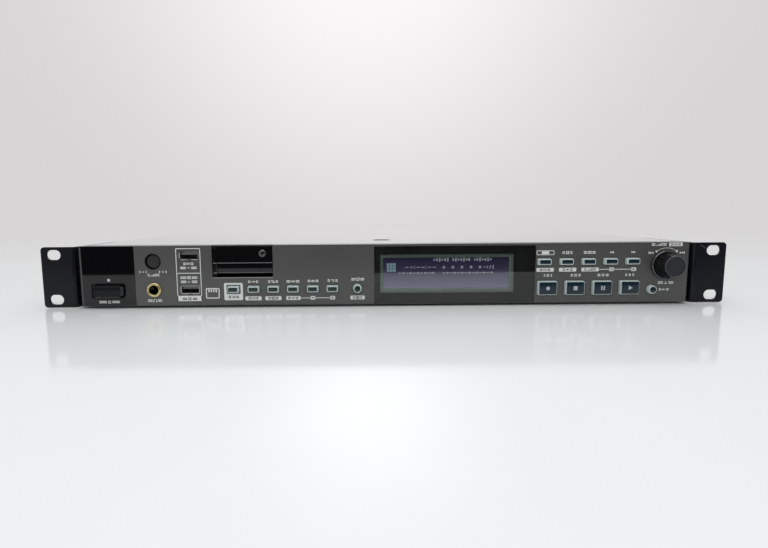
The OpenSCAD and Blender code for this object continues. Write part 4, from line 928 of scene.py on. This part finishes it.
edges = [bm.edges.new(pair) for pair in zip(line, line[1:])]
made = bmesh.ops.extrude_edge_only(bm, edges=edges)
far = [g for g in made["geom"] if isinstance(g, bmesh.types.BMVert)]
bmesh.ops.translate(bm, verts=far, vec=(doorWide * mm, 0, 0))
for face in bm.faces:
    face.smooth = True
inkThicken(bm, -doorLook["lipThick"])
for edge in bm.edges:
    edge.smooth = edge.calc_face_angle() < doorLook["lipCrease"]
newPiece("card_door_lip", bm, "card_door", glossAbs)

# Painted highlights: pale edges on the left and bottom of each socket's mouth
socketRows = (15.1, -8.9)
mouthLook = {"edges": [(-6.6, 0.1, 0.6, 3.9), (-3.6, -3.0, 4.2, 0.6), (3.8, -3.0, 4.2, 0.6)],
             "corner": 0.1, "deep": 0.3}
low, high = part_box("usb_shells")
bm = bmesh.new()
for z in socketRows:
    for dx, dz, w, h in mouthLook["edges"]:
        inkPlate(bm, low.y, middle(low, high)[0] + dx, z + dz, w, h, mouthLook["corner"])
inkThicken(bm, mouthLook["deep"])
newPiece("usb_mouth_highlights", bm, "recorder", socketMouthHighlight)

# Painted highlight: a pale line along the floor of the card notch
sillLook = {"line": (-100.0, -0.72, 42.2, 0.6)}
bm = bmesh.new()
inkPlate(bm, faceY, *sillLook["line"])
inkThicken(bm)
newPiece("card_sill_highlight", bm, "recorder", highlightAndScratchGrey)

# Painted highlights on the power key: pale strips on both flanks, leaning, and the brow
powerKeyLook = {"at": (-194.0, -9.4), "flankAt": (9.9, -1.7), "flank": (2.9, 0.06, 6.2), "lean": 16,
                "browAt": (-2.9, -4.02), "brow": (16.6, 0.05, 0.6), "browTilt": 45}
keyX, keyZ = powerKeyLook["at"]
x, y = powerKeyLook["flankAt"]
bm = bmesh.new()
for side in (-1, 1):
    addBlock(bm, keyX + side * x, faceY + y * mm, keyZ, *powerKeyLook["flank"], 0,
             90 - side * powerKeyLook["lean"])
y, z = powerKeyLook["browAt"]
addBlock(bm, keyX, faceY + y * mm, keyZ + z, *powerKeyLook["brow"], powerKeyLook["browTilt"])
newPiece("power_key_highlights", bm, "power_button", powerKeyHighlight)

# Painted highlight: a pale line along the bottom and right of the opening of the display frame
bezelLook = {"view": (-0.6, 1.4, 89.6, 22.6), "line": 0.6}
dx, z, w, h = bezelLook["view"]
line = bezelLook["line"]
x = middle(lcdLow, lcdHigh)[0] + dx
bm = bmesh.new()
inkPlate(bm, lcdLow.y, x, z - h / 2 - line / 2, w, line)
inkPlate(bm, lcdLow.y, x + (w + line) / 2, z - line / 2, line, h + line)
inkThicken(bm)
newPiece("display_bevel_highlight", bm, "recorder", frameBevelHighlight)

# A square brim along the panel's top, where the moulding is eased
brimLook = {"deep": 0.8,
            "graphite": (graphite, "panel_grey", [(-175.1, -121.2), (-78.8, 212.6)]),
            "gloss": (glossBlack, "gloss_black", [(-212.6, -175.1)])}
panelTop = (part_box("front_panel")[1].z - midZ) / mm
deep = brimLook["deep"]
for kind in ("graphite", "gloss"):
    mat, slot, spans = brimLook[kind]
    bm = bmesh.new()
    for x0, x1 in spans:
        addBlock(bm, (x0 + x1) / 2, faceY + deep / 2 * mm, panelTop - deep / 2, x1 - x0, deep, deep)
    newPiece("brim_" + kind, bm, "recorder", mat)

# Matt top of the card door, with its front chamfer
doorTopLook = {"over": 0.6, "back": 0.2, "drop": 0.37, "trim": 0.5, "thick": 0.06,
               "chamferAt": 0.64, "chamfer": (0.04, 0.72), "tilt": -45}
low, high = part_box("card_door")
wide, at = doorWide + doorTopLook["over"], doorTopLook["chamferAt"]
bm = bmesh.new()
addBlock(bm, doorMid, (low.y + high.y) / 2 + doorTopLook["back"] * mm, panelTop - doorTopLook["drop"],
         wide, (high.y - low.y) / mm - doorTopLook["trim"], doorTopLook["thick"])
addBlock(bm, doorMid, faceY + at * mm, panelTop - at, wide, *doorTopLook["chamfer"], doorTopLook["tilt"])
newPiece("card_door_top", bm, "card_door", bayBlack)

# Gold contacts: a leaf in the headphone jack, and four under the tongue of each socket
contactLook = {"leaf": (-165.0, 8.5, -8.9, 0.4, 7.0, 1.8), "count": 4, "first": -3.5, "pitch": 2.33,
               "deep": 6.5, "rise": 0.48, "contact": (1.0, 8.0, 0.08)}
x, y, z, *leaf = contactLook["leaf"]
bm = bmesh.new()
addBlock(bm, x, faceY + y * mm, z, *leaf)
first = middle(*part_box("usb_tongues"))[0] + contactLook["first"]
for z in socketRows:
    for i in range(contactLook["count"]):
        addBlock(bm, first + i * contactLook["pitch"], faceY + contactLook["deep"] * mm,
                 z + contactLook["rise"], *contactLook["contact"])
newPiece("front_contacts", bm, "recorder", goldPlate)

# One scratch on the right ear
scratchLook = {"line": (225.2, 18.2, 6.2, 0.14), "turn": -33, "thick": 0.02}
bm = bmesh.new()
inkPlate(bm, earLow.y, *scratchLook["line"], turn=scratchLook["turn"])
inkThicken(bm, scratchLook["thick"])
newPiece("ear_scratch", bm, "recorder", highlightAndScratchGrey)
print("front fittings made")


# Rear fittings: metal contacts over the moulded ones and colour-coded insulators
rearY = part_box("rear_panel")[1].y
nickelBits, goldBits, blackBits = bmesh.new(), bmesh.new(), bmesh.new()

balancedLook = {  # three contacts on a circle, each with its start and end in depth, outside and bore
    "outputs": (127, 100, 29), "pin": (-13.9, -1.95, 2.5, 0),
    "inputs": (198, 171, 56), "sleeve": (-7.5, 0.9, 2.62, 1.9),
    "z": -1.6, "circle": 4.7, "turns": (90, 210, 330), "sides": 16,
}
for bits, sockets, contact in ((nickelBits, "outputs", "pin"), (goldBits, "inputs", "sleeve")):
    y0, y1, outer, inner = balancedLook[contact]
    for x in balancedLook[sockets]:
        for a in map(math.radians, balancedLook["turns"]):
            addTube(bits, x + balancedLook["circle"] * math.cos(a), rearY + y0 * mm, rearY + y1 * mm,
                    balancedLook["z"] - balancedLook["circle"] * math.sin(a), outer, inner,
                    balancedLook["sides"])

inletLook = {"x": -178.0, "blades": [(-7, -1.6), (7, -1.6), (0, 2.8)], "deep": -8.9,
             "blade": (2.08, 14.9, 4.08)}
for dx, dz in inletLook["blades"]:
    addBlock(nickelBits, inletLook["x"] + dx, rearY + inletLook["deep"] * mm, dz, *inletLook["blade"])

remoteLook = {  # ports as middle, contacts in the upper row and width
    "ports": ((-27, 13, 38.4), (-71, 5, 16.4)), "insertY": 5.74, "tall": 3.5, "head": 0.6, "foot": 1.9,
    "pitch": 2.77, "rowRise": 1.4, "contactY": (5.9, 6.08), "contact": (1.5, 0.8, 10), "thick": 0.3,
}
tall, head, foot = remoteLook["tall"], remoteLook["head"], remoteLook["foot"]
y0, y1 = remoteLook["contactY"]
for x, count, width in remoteLook["ports"]:
    half = width / 2
    outline = ((head - half, tall), (half - head, tall), (half - foot, -tall), (foot - half, -tall))
    insertY = rearY + remoteLook["insertY"] * mm
    blackBits.faces.new([blackBits.verts.new(((x + dx) * mm, insertY, midZ + dz * mm)) for dx, dz in outline])
    for row in (0, 1):
        for i in range(count - row):
            addTube(goldBits, x + (i - (count - row - 1) / 2) * remoteLook["pitch"], rearY + y0 * mm,
                    rearY + y1 * mm, remoteLook["rowRise"] * (1 - 2 * row), *remoteLook["contact"])

networkLook = {"x": -98.0, "first": -3.57, "pitch": 1.02, "count": 8, "deep": -8.5, "z": -3.9,
               "wire": (0.4, 8.0, 0.25), "tilt": 12}
for i in range(networkLook["count"]):
    addBlock(goldBits, networkLook["x"] + networkLook["first"] + i * networkLook["pitch"],
             rearY + networkLook["deep"] * mm, networkLook["z"], *networkLook["wire"], networkLook["tilt"])
newPiece("rear_blades", nickelBits, "recorder", nickel)
newPiece("rear_contacts", goldBits, "recorder", goldPlate)
inkThicken(blackBits, -remoteLook["thick"])
newPiece("rear_inserts", blackBits, "recorder", blackAbs)

phonoLook = {
    "jacks": ((149.5, "white", "red"), (78.5, "white", "red"), (7.5, "orange", "orange")), "rise": 7.5,
    "tints": {"white": ("#d2d2cc", "#dededa"), "red": ("#a81d1a", "#b82623"),
              "orange": ("#c8661c", "#d47526")},
    "seat": 2.1, "inset": 0.5, "ring": (5.6, 3.4),
}
insulators = {
    name: newFinish(name + " nylon insulator", {  # dyed in the mould, slightly waxy
        "dark": dark, "light": light, "grain": 0.8, "wear": 6, "rough": (0.34, 0.44), "relief": 0.002})
    for name, (dark, light) in phonoLook["tints"].items()}
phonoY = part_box("phono_jacks")[1].y
for x, *pair in phonoLook["jacks"]:
    for name, side, rise in zip(pair, ("upper", "lower"), (phonoLook["rise"], -phonoLook["rise"])):
        bm = bmesh.new()
        addTube(bm, x, rearY + phonoLook["seat"] * mm, phonoY - phonoLook["inset"] * mm, rise,
                *phonoLook["ring"])
        newPiece("phono_insulator_%d_%s" % (x, side), bm, "recorder", insulators[name])
print("rear fittings made")


low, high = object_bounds()
